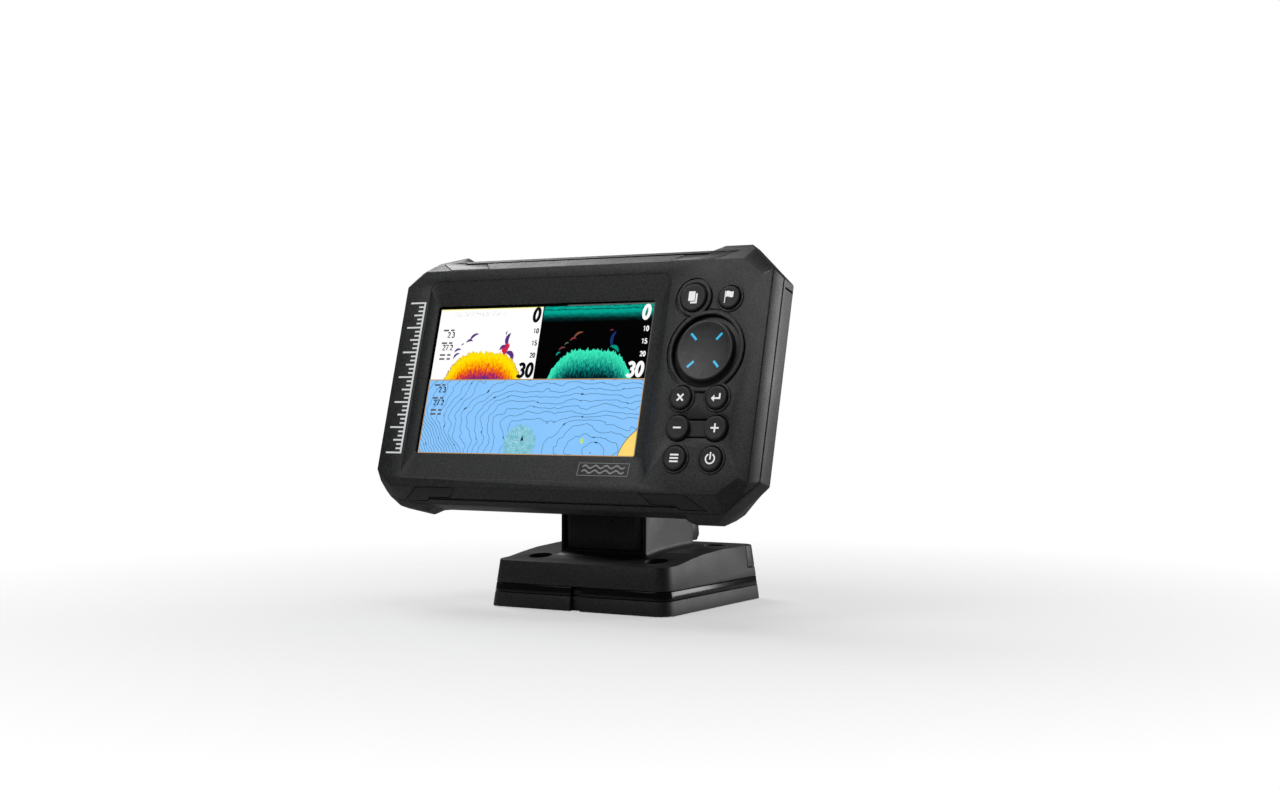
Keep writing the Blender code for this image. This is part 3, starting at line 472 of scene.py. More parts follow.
def natural(name, colour, roughness, spread=0.12, subsurface=0.0):
    """Acetal, ceramic or silicone: an almost even tone with a slight waxy mottling."""
    n = Nodes(name)
    cloud = n.noise(180.0, 4.0, 0.55)
    grit = n.noise(2600.0, 2.0, 0.6)
    tone = n.mix(n.range(cloud, 0.35, 0.68), shade(colour, 1 - spread), colour)
    n.set(Base_Color=tone, Roughness=n.range(grit, 0.3, 0.7, roughness - 0.05, roughness + 0.06))
    n.set(Subsurface_Weight=subsurface)
    n.bump(grit, 0.12, 0.02)
    return n.material


def laminate(name):
    """Green solder mask over copper tracks that run square to each other."""
    n = Nodes(name)
    brick = n.add("ShaderNodeTexBrick")
    for key, value in (
        ("Scale", 260.0), ("Mortar Size", 0.03), ("Color1", (0.010, 0.085, 0.040)),
        ("Color2", (0.014, 0.120, 0.055)), ("Mortar", (0.045, 0.200, 0.080)),
    ):
        n.join(value, brick.inputs[key])
    turn = n.add("ShaderNodeMapping")
    turn.inputs["Rotation"].default_value = (math.radians(90), 0, 0)
    n.join(n.place(), turn.inputs["Vector"])
    n.join(turn.outputs["Vector"], brick.inputs["Vector"])
    pads = n.range(n.cells(420.0), 0.05, 0.12, 1.0, 0.0)
    tone = n.mix(pads * 0.8, brick.outputs["Color"], (0.55, 0.50, 0.36))
    n.set(Base_Color=tone, Roughness=n.range(n.noise(500.0), 0.3, 0.7, 0.32, 0.45))
    n.bump(brick.outputs["Fac"], 0.3, 0.03)
    return n.material


def ink(name, colour, roughness=0.5, painted_glow=0.0):
    """Pad-printed ink: an even colour with a faint screen grain. Its glow is painted light that stands in for
    lamp light falling on the print.
    """
    n = Nodes(name)
    grain = n.noise(3500.0, 2.0, 0.5)
    tone = n.mix(n.range(grain, 0.3, 0.7), shade(colour, 0.9), colour)
    n.set(Base_Color=tone, Roughness=n.range(grain, 0.3, 0.7, roughness - 0.05, roughness + 0.05))
    # Painted light: the ink glows so that the print looks lit.
    n.set(Emission_Color=tone, Emission_Strength=painted_glow)
    return n.material


def lit(name, colour):
    """Part of the lit picture, with the panel's fine pixel grain."""
    n = Nodes(name)
    grain = n.noise(9000.0, 1.0, 0.5)
    n.set(Emission_Color=n.mix(n.range(grain, 0.3, 0.7), shade(colour, 0.97), colour), Emission_Strength=1.0)
    n.set(Base_Color=(0, 0, 0), Roughness=0.5, Specular_IOR_Level=0.02)
    return n.material


# ---------------------------------------------------------------- outlines that the housing follows


def both_halves(top):
    """The outline whose upper half, left to right, is given: its lower half mirrors it."""
    return top + [(x, -z) for x, z in reversed(top)]


def face_outline():
    """The flat face: plain cut corners on the left, notched by a facet on the right."""
    width, height = FACE_HALF
    left, right = BLOCK_CENTRE - BLOCK_INNER, BLOCK_CENTRE + BLOCK_INNER
    return both_halves([
        (-width, 41.5), (-86.0, 45.05), (-81.7, height), (left, height), (left + BLOCK_STEP, height),
        (right - BLOCK_STEP, height), (right, height), (76.8, height), (85.9, 41.5), (width, 44.0),
    ])


def unit_outline(middle, block, inset=0.0):
    """The outline behind the face: half height in the middle, half height at the corner blocks."""
    (chamfer_x, chamfer_z), (side_x, side_z) = CHAMFER
    slope = (chamfer_z - side_z) / (side_x - chamfer_x)
    top_x = chamfer_x - (block - chamfer_z) / slope - 0.6 * inset
    side_x, side_z = side_x - inset, side_z - 0.4 * inset
    left, right = BLOCK_CENTRE - BLOCK_INNER, BLOCK_CENTRE + BLOCK_INNER
    halfway = ((side_x + top_x) / 2, (side_z + block) / 2)
    foot = LEFT_CORNER[0][1]
    lift = (block - foot) / (BLOCK_TOP - foot)
    left_corner = [(inset - x, foot + (z - foot) * lift - 0.4 * inset) for x, z in LEFT_CORNER]
    return both_halves([
        *left_corner, (left, block), (left + BLOCK_STEP, middle),
        (right - BLOCK_STEP, middle), (right, block), (top_x, block), halfway, (side_x, side_z),
    ])


def cavity_outline(grow=0.0, corner_grow=0.0):
    """The hollow's outline, its straight sides and its cut corners moved out by amounts of their own."""
    width, height = CAVITY_HALF[0] + grow, CAVITY_HALF[1] + grow
    across, up = CORNER_NORMAL
    spare = grow * (across + up) - corner_grow
    cut_x, cut_z = CAVITY_CHAMFER
    return chamfered((-width, -height), (width, height), cut_x + spare / across, cut_z + spare / up)


def dog_bone(centre, span, radius, waist, steps=16):
    """Two round lobes joined by a narrower web."""
    lean = math.degrees(math.asin(waist / radius))
    right = arc((centre[0] + span, centre[1]), radius, lean - 180, 180 - lean, 2 * steps)
    left = arc((centre[0] - span, centre[1]), radius, lean, 360 - lean, 2 * steps)
    return right + left


def capsule(centre, span, radius, steps=16):
    """Two round ends joined by straight sides."""
    right = arc((centre[0] + span, centre[1]), radius, -90, 90, steps)
    left = arc((centre[0] - span, centre[1]), radius, 90, 270, steps)
    return right + left


def grown(corners, by):
    (x0, z0), (x1, z1) = corners
    return (x0 - by, z0 - by), (x1 + by, z1 + by)


def bevel_point(x, side, distance, rise=0.0):
    """A point on the top or bottom bevel, this far down its slope from the face's edge."""
    diagonal = math.sqrt(0.5)
    depth = FACE + (distance - rise) * diagonal
    return x, depth, side * (FACE_HALF[1] + (distance + rise) * diagonal)


def trim_pocket(name, hand, side):
    """The pocket of an L-shaped corner trim, a gap wider than the trim all round."""
    grow = GAP
    shape = [
        (45.2 - grow, 0.5 - grow), (65.6 + 0.5 * grow, 0.5 - grow), (73.6 + 2.7 * grow, 7.3 + grow),
        (61.9 - grow, 7.3 + grow), (59.9 - grow, 5.2 + grow), (49.7 - grow, 5.2 + grow),
    ]
    sections = []
    for rise in (1.0, -0.9 - grow):
        sections.append([bevel_point(BLOCK_CENTRE + hand * x, side, s, rise) for x, s in shape])
    return loft(name, sections)


CORNERS = {"left_top": (-1, 1), "right_top": (1, 1), "left_bottom": (-1, -1), "right_bottom": (1, -1)}


# ---------------------------------------------------------------- pieces of the frame


def settle(obj, material, node=None, body=None, replaces=False, angle=32):
    """Shades a piece, gives it its material, and lets it ride on its CAD node's body."""
    smooth(obj, angle)
    obj.data.materials.clear()
    obj.data.materials.append(material)
    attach(obj, body or frame["nodes"][node]["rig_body"])
    if replaces:
        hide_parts(node)
    return obj


def softened(node, width, place=WORLD):
    """A CAD node's shape as a new mesh, with its edges rounded."""
    bm = bmesh.new()
    bm.from_mesh(frame["nodes"][node].data)
    into_place = Matrix.Scale(1 / MM, 4) @ place.inverted()
    bmesh.ops.transform(bm, matrix=into_place, verts=bm.verts)
    bmesh.ops.remove_doubles(bm, verts=bm.verts, dist=0.002)
    bmesh.ops.dissolve_limit(bm, angle_limit=math.radians(1.0), verts=bm.verts, edges=bm.edges)
    bmesh.ops.dissolve_degenerate(bm, dist=0.01, edges=bm.edges)
    return bevelled(as_object(f"{node}_fine", bm, place), width, angle=35)


def refine(node, width, material, place=WORLD):
    """Replaces a CAD node with its own shape, its edges rounded."""
    settle(softened(node, width, place), material, node, replaces=True)


def key_ring(name, centre, radius):
    """A low raised disc with a rounded rim, to be joined to the face."""
    top = FACE - 0.45
    profile = [(radius, FACE + 1.0), (radius, top + 0.3), (radius - 0.09, top + 0.09), (radius - 0.3, top)]
    return lathe(name, profile, centre, 64)


def disc(name, centre, radius, front, back):
    return lathe(name, [(radius, front), (radius, back)], centre, 96)


def ring_channel(key, deep):
    """The thin channel round one raised ring, broken where its neighbours' rings stand."""
    rings = {name: ((x, z), ring) for name, (x, z, _, ring) in KEYS.items()}
    rings["pad"] = (PAD, PAD_RING)
    centre, ring = rings[key]
    channel = disc(f"{key}_channel", centre, ring + 0.75, FACE - 1.5, FACE + deep)
    neighbours = [name for name in ("pages_button", "exit_button", "enter_button", "pad") if name != key]
    for i, name in enumerate([key] + neighbours):
        other, radius = rings[name]
        spare = 0.0 if name in (key, "pad", "pages_button") else 0.2
        more = 0.1 * i
        standing = disc(f"{key}_{name}", other, radius + spare - 0.01 * i, FACE - 2 - more, FACE + 1 + more)
        carve(channel, [standing])
    return channel


def make_bezel():
    bezel = loft(
        "front_bezel_fine",
        [at_depth(face_outline(), FACE), at_depth(unit_outline(BEVEL_MIDDLE, BEVEL_BLOCK), PARTING)],
    )
    bevelled(bezel, 0.4, angle=25)
    discs = [key_ring(f"{name}_ring", (x, z), ring) for name, (x, z, _, ring) in KEYS.items()]
    carve(bezel, discs + [key_ring("pad_ring", PAD, PAD_RING)], "UNION")

    # The picture recess, from the glass to the face: corners, corner radius and depth of each section.
    fold = ((-73.45, -35.5), (40.8, 34.5))
    rim = grown(MOUTH, 0.45)
    funnel = [
        (LIP, 1.5, LIP_DEPTH), (fold, 1.8, LIP_DEPTH - 0.3), (MOUTH, 4.0, FACE + 0.25),
        (grown(MOUTH, 0.16), 4.2, FACE + 0.06), (rim, 4.5, FACE - 0.03), (rim, 4.5, FACE - 3),
    ]
    cutters = [
        prism("hollow", cavity_outline(), FACE_BACK, PARTING + 2),
        prism("gasket_groove", cavity_outline(2.3, 2.3), 1.7, PARTING + 2),
        loft("funnel", [at_depth(rounded(*corners, radius, 8), y) for corners, radius, y in funnel]),
        prism("picture_opening", rounded(*LIP, 1.5, 8), LIP_DEPTH - 1, 1),
        ring_channel("pages_button", 0.62),
        ring_channel("pad", 0.7),
    ]
    for name, (x, z, radius, _) in KEYS.items():
        cutters.append(hole(f"{name}_hole", (x, z), radius + KEY_CLEARANCE, 1.0))
    cutters.append(hole("pad_hole", PAD, PAD_OPENING, 1.0, 96))
    # The opening of the zoom key: extra radius, half waist and depth of each section.
    lobes = [
        (0.5, 3.9, 1.0), (0.5, 3.9, FACE + 0.3), (0.6, 4.0, FACE + 0.08), (0.85, 4.25, FACE - 0.03),
        (0.85, 4.25, FACE - 3.5),
    ]
    bones = [at_depth(dog_bone(ZOOM, ZOOM_SPAN, ZOOM_RADIUS + wide, waist), y) for wide, waist, y in lobes]
    cutters.append(loft("zoom_hole", bones))
    for name, (hand, side) in CORNERS.items():
        cutters.append(trim_pocket(f"{name}_pocket", hand, side))
        x, z = hand * CASE_SCREW[0], side * CASE_SCREW[1]
        cutters.append(lathe(f"{name}_thread", [(1.3, 0.3), (1.3, 6)], (x, z), 24))
    for side in (-1, 1):
        near, far = GROOVE
        sections = []
        for x in (BLOCK_CENTRE - GROOVE_REACH, BLOCK_CENTRE + GROOVE_REACH):
            corners = ((near, -0.7), (near, 0.6), (far, 0.6), (far, -0.7))
            sections.append([bevel_point(x, side, distance, rise) for distance, rise in corners])
        cutters.append(loft(f"bevel_groove_{side}", sections))
    carve(bezel, cutters)
    return settle(bezel, HOUSING, "front_bezel", replaces=True)


def case_rail(name, hand):
    """One L-shaped rail on the case's back, which holds an edge of the head's shoe."""
    outline = [(22.9, 29.0), (22.9, 34.3), (20.0, 34.3), (20.0, 37.0), (26.5, 37.0), (26.5, 29.0)]
    points = [(hand * x, y) for x, y in outline]
    return loft(name, [at_height(points, -30.0), at_height(points, 20.0)])


def make_case():
    case = loft(
        "rear_case_fine",
        [
            at_depth(unit_outline(BEVEL_MIDDLE, BEVEL_BLOCK), PARTING + GAP),
            at_depth(unit_outline(55.0, BLOCK_TOP), 6.4),
            at_depth(unit_outline(55.0, BLOCK_TOP), 12.5),
            at_depth(unit_outline(54.2, 54.4, 3.6), 18.6),
            at_depth(unit_outline(51.0, 51.2, 5.0), 21.0),
        ],
    )
    bevelled(case, 0.5, angle=20)
    hump = loft(
        "case_hump",
        [
            at_depth(chamfered((-68.0, -42.0), (68.0, 46.0), 9, 9), 17.0),
            at_depth(chamfered((-58.0, -33.0), (58.0, 37.0), 8, 8), BACK - 1.5),
            at_depth(chamfered((-56.5, -31.5), (56.5, 35.5), 7, 7), BACK),
        ],
    )
    bevelled(hump, 0.7, angle=15)
    joined = [hump]
    for hand, side in ((-1, "left"), (1, "right")):
        joined.append(bevelled(case_rail(f"{side}_rail", hand), 0.4))
        low_x, high_x = sorted((6.0 * hand, 26.5 * hand))
        joined.append(bevelled(box(f"{side}_stop", (low_x, 29.0, 20.3), (high_x, 33.9, 24.0)), 0.35))
    for tool in joined:
        carve(case, [tool], "UNION")

    cutters = [
        prism("case_mouth", cavity_outline(), 2, 7),
        loft("case_hollow", [at_depth(cavity_outline(3.0), 6.0), at_depth(cavity_outline(1.5), 18.0)]),
        loft(
            "hump_hollow",
            [
                at_depth(chamfered((-62, -37), (62, 41), 8, 8), 16.0),
                at_depth(chamfered((-54.5, -30), (54.5, 34), 7, 7), BACK - 2.6),
            ],
        ),
        box("catch_notch", (-4.0, 28.4, 0.0), (4.0, BACK + 1, 6.0)),
        box("card_pocket", (69.2, 19.0, -13.3), (84.3, 30, 13.3)),
        box("card_window", (71.5, 10, -10), (82.5, 30, 10)),
        box("side_groove", (91.3, 5.2, 37.8), (94, 12.6, 38.7)),
    ]
    for name, x in (("power", -41.0), ("sonar", 41.0)):
        cutters.append(lathe(f"{name}_hole", [(10.8, 20), (10.8, 40)], (x, -10.0), 56))
    for name, (hand, side) in CORNERS.items():
        centre = (hand * CASE_SCREW[0], side * CASE_SCREW[1])
        stepped = [(1.4, 2), (1.4, 12), (3.0, 12), (3.0, 24)]
        cutters.append(lathe(f"{name}_screw_hole", stepped, centre, 28))
    for hand in (-1, 1):
        for i in range(6):
            low_x, high_x = sorted((hand * 30.0, hand * 52.0))
            z = 7.0 + 4.4 * i
            outline = rounded((low_x, z), (high_x, z + 1.6), 0.75, 4)
            cutters.append(prism(f"fin_{hand}_{i}", outline, BACK - 0.8, BACK + 2))
    for tool in cutters:
        carve(case, [tool])
    return settle(case, HOUSING, "rear_case", replaces=True, angle=28)


# ---------------------------------------------------------------- keys and their icons


def moved(outline, centre):
    return [(x + centre[0], z + centre[1]) for x, z in outline]


def cross(reach, half, turn=0):
    """A plus sign as one outline, turned by some degrees."""
    quarter = [(half, half), (half, reach), (-half, reach)]
    points = []
    for step in range(4):
        angle = math.radians(turn + 90 * step)
        c, s = math.cos(angle), math.sin(angle)
        points += [(x * c - z * s, x * s + z * c) for x, z in quarter]
    return points


def band(radius, half, start, end, steps=28):
    """Part of a ring as one outline."""
    outer = arc((0, 0), radius + half, start, end, steps)
    inner = arc((0, 0), radius - half, start, end, steps)
    return outer + inner[::-1]


def waving_flag():
    steps = 10
    shares = [i / steps for i in range(steps + 1)]
    top = [(-1.45 + 3.3 * share, 2.35 + 0.22 * math.sin(2 * math.pi * share)) for share in shares]
    return top + [(x, z - 2.35) for x, z in reversed(top)]


ICONS = {
    "pages_button": [
        bar(-2.0, -1.5, 0.95, 2.5),
        [(1.3, 1.6), (2.05, 1.6), (2.05, -2.6), (-0.95, -2.6), (-0.95, -1.85), (1.3, -1.85)],
    ],
    "waypoint_button": [bar(-1.95, -2.5, -1.6, 2.6), waving_flag()],
    "exit_button": [cross(1.95, 0.36, 45)],
    "enter_button": [
        [(-2.2, -0.45), (-0.75, 0.95), (-0.75, -0.1), (1.25, -0.1), (1.25, 1.6), (1.95, 1.6), (1.95, -0.8),
         (-0.75, -0.8), (-0.75, -1.85)],
    ],
    "menu_button": [bar(-1.9, z - 0.33, 1.9, z + 0.33) for z in (-1.35, 0.0, 1.35)],
    "power_button": [band(1.95, 0.29, 118, 422), bar(-0.3, -0.35, 0.3, 2.65)],
}


def cap_profile(radius):
    """The front of a key: a shallow dish inside a rounded rim."""
    return [
        (radius * 0.25, KEY_TOP + 0.12), (radius * 0.5, KEY_TOP + 0.09), (radius - 1.2, KEY_TOP + 0.03),
        (radius - 0.8, KEY_TOP), (radius - 0.42, KEY_TOP + 0.05), (radius - 0.14, KEY_TOP + 0.22),
        (radius, KEY_TOP + 0.6),
    ]


def make_keys():
    for name, (x, z, radius, _) in KEYS.items():
        stem = [(radius, -0.2), (radius + 1.0, -0.2), (radius + 1.0, 0.5), (2.2, 0.5), (2.2, 0.9)]
        key = lathe(f"{name}_fine", cap_profile(radius) + stem, (x, z), 64)
        settle(key, KEYCAP, name, replaces=True)
        outlines = [moved(outline, (x, z)) for outline in ICONS[name]]
        icon = prisms(f"{name}_icon", outlines, KEY_TOP + 0.05, KEY_TOP + 0.25)
        settle(icon, WHITE_INK, name)


def make_rocker():
    centres = [(ZOOM[0] + hand * ZOOM_SPAN, ZOOM[1]) for hand in (-1, 1)]
    caps = [lathe(f"rocker_cap_{i}", cap_profile(ZOOM_RADIUS) + [(ZOOM_RADIUS, 0.9)], centre, 64)
            for i, centre in enumerate(centres)]
    (minus_x, z), (plus_x, _) = centres
    web = bevelled(box("rocker_web", (minus_x, -2.4, z - 3.4), (plus_x, 0.9, z + 3.4)), 0.35)
    flange = prism("rocker_flange", capsule(ZOOM, ZOOM_SPAN, ZOOM_RADIUS + 1), 0.5, 1.2)
    rocker = caps[0]
    for tool in (caps[1], web, flange):
        carve(rocker, [tool], "UNION")
    rocker.name = "zoom_rocker_fine"
    settle(rocker, KEYCAP, "zoom_rocker", replaces=True)
    signs = [moved(bar(-1.75, -0.33, 1.75, 0.33), centres[0]), moved(cross(1.8, 0.33), centres[1])]
    settle(prisms("zoom_rocker_icon", signs, KEY_TOP + 0.05, KEY_TOP + 0.25), WHITE_INK, "zoom_rocker")


def on_pad(name, outlines, proud):
    """Thin prints that lie along the pad's dish."""
    bm = bmesh.new()
    for outline in outlines:
        sections = []
        for lift in (-proud, 0.15):
            sections.append([(PAD[0] + x, KEY_TOP + between(PAD_DISH, math.hypot(x, z)) + lift, PAD[1] + z)
                             for x, z in outline])
        add_loft(bm, sections)
    return as_object(name, bm, UNIT)


def dash(angle, near, far, half, steps=6):
    """A radial bar, split along its length so that it can follow the dish."""
    c, s = math.cos(math.radians(angle)), math.sin(math.radians(angle))
    along = [near + (far - near) * i / steps for i in range(steps + 1)]
    side = [(r, half) for r in along] + [(r, -half) for r in reversed(along)]
    return [(r * c - w * s, r * s + w * c) for r, w in side]


def make_pad():
    dish = [(r, KEY_TOP + depth) for r, depth in PAD_DISH]
    edge = [
        (PAD_RADIUS - 0.7, KEY_TOP), (PAD_RADIUS - 0.3, KEY_TOP + 0.12), (PAD_RADIUS - 0.08, KEY_TOP + 0.32),
        (PAD_RADIUS, KEY_TOP + 0.7),
    ]
    skirt = [
        (PAD_RADIUS, -2.3), (PAD_RADIUS + 0.3, -1.95), (14.6, -1.55), (14.9, -1.2), (14.9, 0.4), (16.2, 0.4),
        (16.2, 1.1),
    ]
    pad = lathe("direction_pad_fine", dish + edge + skirt, PAD, 96)
    for name in ("exit_button", "enter_button"):
        x, z, radius, _ = KEYS[name]
        relief = radius + 1.6
        carve(pad, [lathe(f"{name}_relief", [(relief, -2), (relief, 4)], (x, z), 64)])
    settle(pad, PADCAP, "direction_pad", replaces=True)
    dashes = [dash(45 + 90 * i, 6.3, 9.9, 0.48) for i in range(4)]
    marks = [dash(90 * i, 10.0, 10.9, 0.16) for i in range(4)]
    settle(on_pad("pad_dashes", dashes, 0.03), CYAN_INK, "direction_pad")
    settle(on_pad("pad_marks", marks, 0.02), DARK_INK, "direction_pad")


# ---------------------------------------------------------------- the picture


class Picture(Nodes):
    """A lit pane. Its texture place runs from the pane's own lower left corner, in millimetres."""

    def __init__(self, name):
        super().__init__(name)
        split = self.add("ShaderNodeSeparateXYZ")
        self.join(self.place(), split.inputs[0])
        self.x = Signal(self, split.outputs["X"]) * (1 / MM)
        self.z = Signal(self, split.outputs["Z"]) * (1 / MM)
        self.set(Base_Color=(0, 0, 0), Roughness=0.5, Specular_IOR_Level=0.02)

    def point(self, x, z):
        node = self.add("ShaderNodeCombineXYZ")
        for socket, value in zip(node.inputs, (x, 0.0, z)):
            self.join(value, socket)
        return node.outputs[0]

    def grain(self, scale_x, scale_z, detail=2.0, shift=0.0):
        """Noise whose features are stretched, about 1/scale millimetres across."""
        return self.noise(1.0, detail, 0.6, self.point(self.x * scale_x + shift, self.z * scale_z))

    def distance(self, x, z):
        dx, dz = self.x - x, self.z - z
        return (dx * dx + dz * dz).root()

    def blob(self, x, z, long, short, turn, rough=0.8, scale=2.4):
        """One inside a ragged and slightly bent ellipse, nought outside."""
        c, s = math.cos(math.radians(turn)), math.sin(math.radians(turn))
        dx, dz = self.x - x, self.z - z
        along = dx * c + dz * s
        over = dz * c - dx * s + along * along * (0.35 / long)
        reach = abs(along / long) ** 2.0 + abs(over / short) ** 2.0
        ragged = reach + self.grain(scale, scale, 3.0, x) * (2.4 * rough)
        edge = 1.0 + 1.2 * rough
        return self.range(ragged, edge - 0.12, edge + 0.12, 1.0, 0.0)

    def with_blobs(self, colour, rows):
        """The colour with blobs over it. Each row: centre X and Z, two half sizes, turn and colour."""
        for *shape, ink in rows:
            colour = self.mix(self.blob(*shape), colour, ink)
        return colour

    def light(self, colour):
        self.set(Emission_Color=colour, Emission_Strength=1.0)
        return self.material


SONAR_SIZE = (53.6, 31.9)
CHART_SIZE = (107.8, 32.0)
VIOLET, CRIMSON = (0.10, 0.03, 0.22), (0.62, 0.02, 0.07)


def mound(n, middle, reach, top, ragged):
    """How far a point lies under the bottom's echo, in millimetres."""
    shape = 1.0 - abs((n.x - middle) / reach) ** 3.6
    edge = (n.grain(0.8, 0.3, 4.0) - 0.5) * ragged
    return shape * top + edge - n.z


def sonar_picture():
    """The bottom in warm colours on white, with violet fish above it."""
    n = Picture("sonar_picture")
    width, height = SONAR_SIZE
    under = mound(n, 0.505 * width, 0.375 * width, 0.385 * height, 6.5)
    streaks = (n.grain(1.3, 0.7, 4.0) - 0.5) * 13.0
    centred = abs((n.x - 0.505 * width) / (0.40 * width))
    tone = n.range(under - centred ** 2.0 * 3.0 + streaks, 0.0, 12.5)
    heat = n.ramp(tone, [
        (0.0, (0.95, 0.66, 0.01)), (0.12, (1.0, 0.83, 0.0)), (0.34, (1.0, 0.58, 0.0)),
        (0.52, (0.95, 0.28, 0.0)), (0.70, (0.80, 0.06, 0.01)), (0.86, (0.36, 0.02, 0.12)),
        (1.0, (0.12, 0.02, 0.22)),
    ])
    rim = n.range(under, 0.0, 0.8, 1.0, 0.0)
    echo = n.mix(rim * n.range(centred, 0.55, 0.85, 0.10, 1.0), heat, (0.16, 0.02, 0.17))
    colour = n.mix(n.range(under, -0.05, 0.05), (1.0, 1.0, 1.0), echo)
    colour = n.with_blobs(colour, [
        (19.3, 19.6, 2.6, 0.62, 38, VIOLET), (17.6, 17.6, 1.7, 0.55, 12, VIOLET),
        (11.9, 13.5, 1.7, 0.5, 20, VIOLET), (14.2, 15.9, 0.8, 0.3, 30, VIOLET),
        (11.4, 11.0, 1.9, 0.5, 42, VIOLET), (37.2, 17.6, 3.0, 0.95, 84, VIOLET),
        (36.9, 13.6, 2.6, 1.7, 70, CRIMSON), (35.4, 14.4, 1.7, 0.7, 30, VIOLET),
        (40.4, 11.2, 2.6, 1.1, -40, VIOLET), (36.4, 20.6, 0.9, 0.3, 75, VIOLET),
    ])
    dots = n.range(n.grain(1.5, 2.2, 2.0, 31.0), 0.60, 0.63)
    high = n.range(abs(n.z - 0.925 * height), 0.9, 1.3, 1.0, 0.0)
    spread = n.range(abs(n.x - 20.0), 14.0, 15.0, 1.0, 0.0)
    colour = n.mix(dots * high * spread, colour, (0.24, 0.24, 0.27))
    return n.light(n.mix(n.range(n.z, height - 0.5, height - 0.42), colour, (1.0, 0.95, 0.35)))


def zoom_picture():
    """The same bottom in greens on black, under a green surface band."""
    n = Picture("zoom_picture")
    width, height = SONAR_SIZE
    under = mound(n, 0.50 * width, 0.385 * width, 0.395 * height, 6.5)
    hairs = (n.grain(1.5, 0.6, 4.0, 9.0) - 0.5) * 15.0
    echo = n.ramp(n.range(under + hairs, 0.0, 12.5), [
        (0.0, (0.05, 0.86, 0.52)), (0.25, (0.03, 0.66, 0.41)), (0.48, (0.01, 0.36, 0.26)),
        (0.7, (0.0, 0.13, 0.12)), (0.88, (0.0, 0.03, 0.035)), (1.0, (0.0, 0.006, 0.010)),
    ])
    surface = n.z + (n.grain(0.35, 0.8, 4.0, 4.0) - 0.5) * 2.4
    water = n.ramp(n.range(surface, 0.78 * height, height), [
        (0.0, (0.0, 0.0, 0.0)), (0.22, (0.0, 0.02, 0.02)), (0.42, (0.0, 0.16, 0.13)),
        (0.58, (0.0, 0.36, 0.27)), (0.72, (0.0, 0.40, 0.30)), (0.77, (0.0, 0.05, 0.05)),
        (0.83, (0.0, 0.36, 0.27)), (0.92, (0.0, 0.44, 0.32)), (0.96, (0.0, 0.06, 0.06)),
        (1.0, (0.0, 0.40, 0.30)),
    ])
    colour = n.mix(n.range(under, -0.05, 0.15), water, echo)
    return n.light(n.with_blobs(colour, [
        (18.4, 19.6, 2.6, 0.42, 34, (0.25, 0.08, 0.04)), (16.4, 17.6, 1.6, 0.4, 20, (0.24, 0.04, 0.05)),
        (11.6, 13.6, 1.6, 0.4, 20, (0.16, 0.05, 0.05)), (13.6, 15.6, 1.0, 0.3, 24, (0.10, 0.16, 0.12)),
        (35.6, 17.0, 3.4, 0.8, 84, (0.01, 0.03, 0.14)), (38.0, 13.4, 2.4, 0.8, -30, (0.0, 0.30, 0.22)),
        (35.0, 21.0, 0.9, 0.3, 10, (0.16, 0.03, 0.05)), (10.0, 11.2, 1.2, 0.35, 40, (0.0, 0.36, 0.27)),
    ]))


def sea_bed(n, x, z):
    """The chart's depth at a point: upright lines on the left, level ones above, a basin on the right."""
    warp = n.noise(1.0, 2.0, 0.5, n.point(x * 0.07, z * 0.10))
    fine = n.noise(1.0, 1.0, 0.5, n.point(x * 0.24, z * 0.24))
    left = (47.0 - x).at_least(0.0) * 0.62
    above = (z - 14.0).at_least(0.0) * 0.85
    corner = (25.0 - (x + z * 1.3)).at_least(0.0)
    dx, dz = (x - 87.0) / 1.5, z - 1.0
    basin = (17.0 - (dx * dx + dz * dz).root()).at_least(0.0)
    reach = (left * left + above * above).root() + corner * 0.75 - basin * 0.55 + warp * 7.5
    return (reach + fine * 1.3) * (1 / 2.15)


def contour(n, half):
    """Lines of an even width where the sea bed passes a whole number and a half, and how far off they are."""
    step = 0.12
    here = sea_bed(n, n.x, n.z)
    rise_x = (sea_bed(n, n.x + step, n.z) - here) / step
    rise_z = (sea_bed(n, n.x, n.z + step) - here) / step
    away = here.from_half() / (rise_x * rise_x + rise_z * rise_z).root().at_least(0.02)
    return n.range(away, half * 0.6, half * 1.4, 1.0, 0.0), away


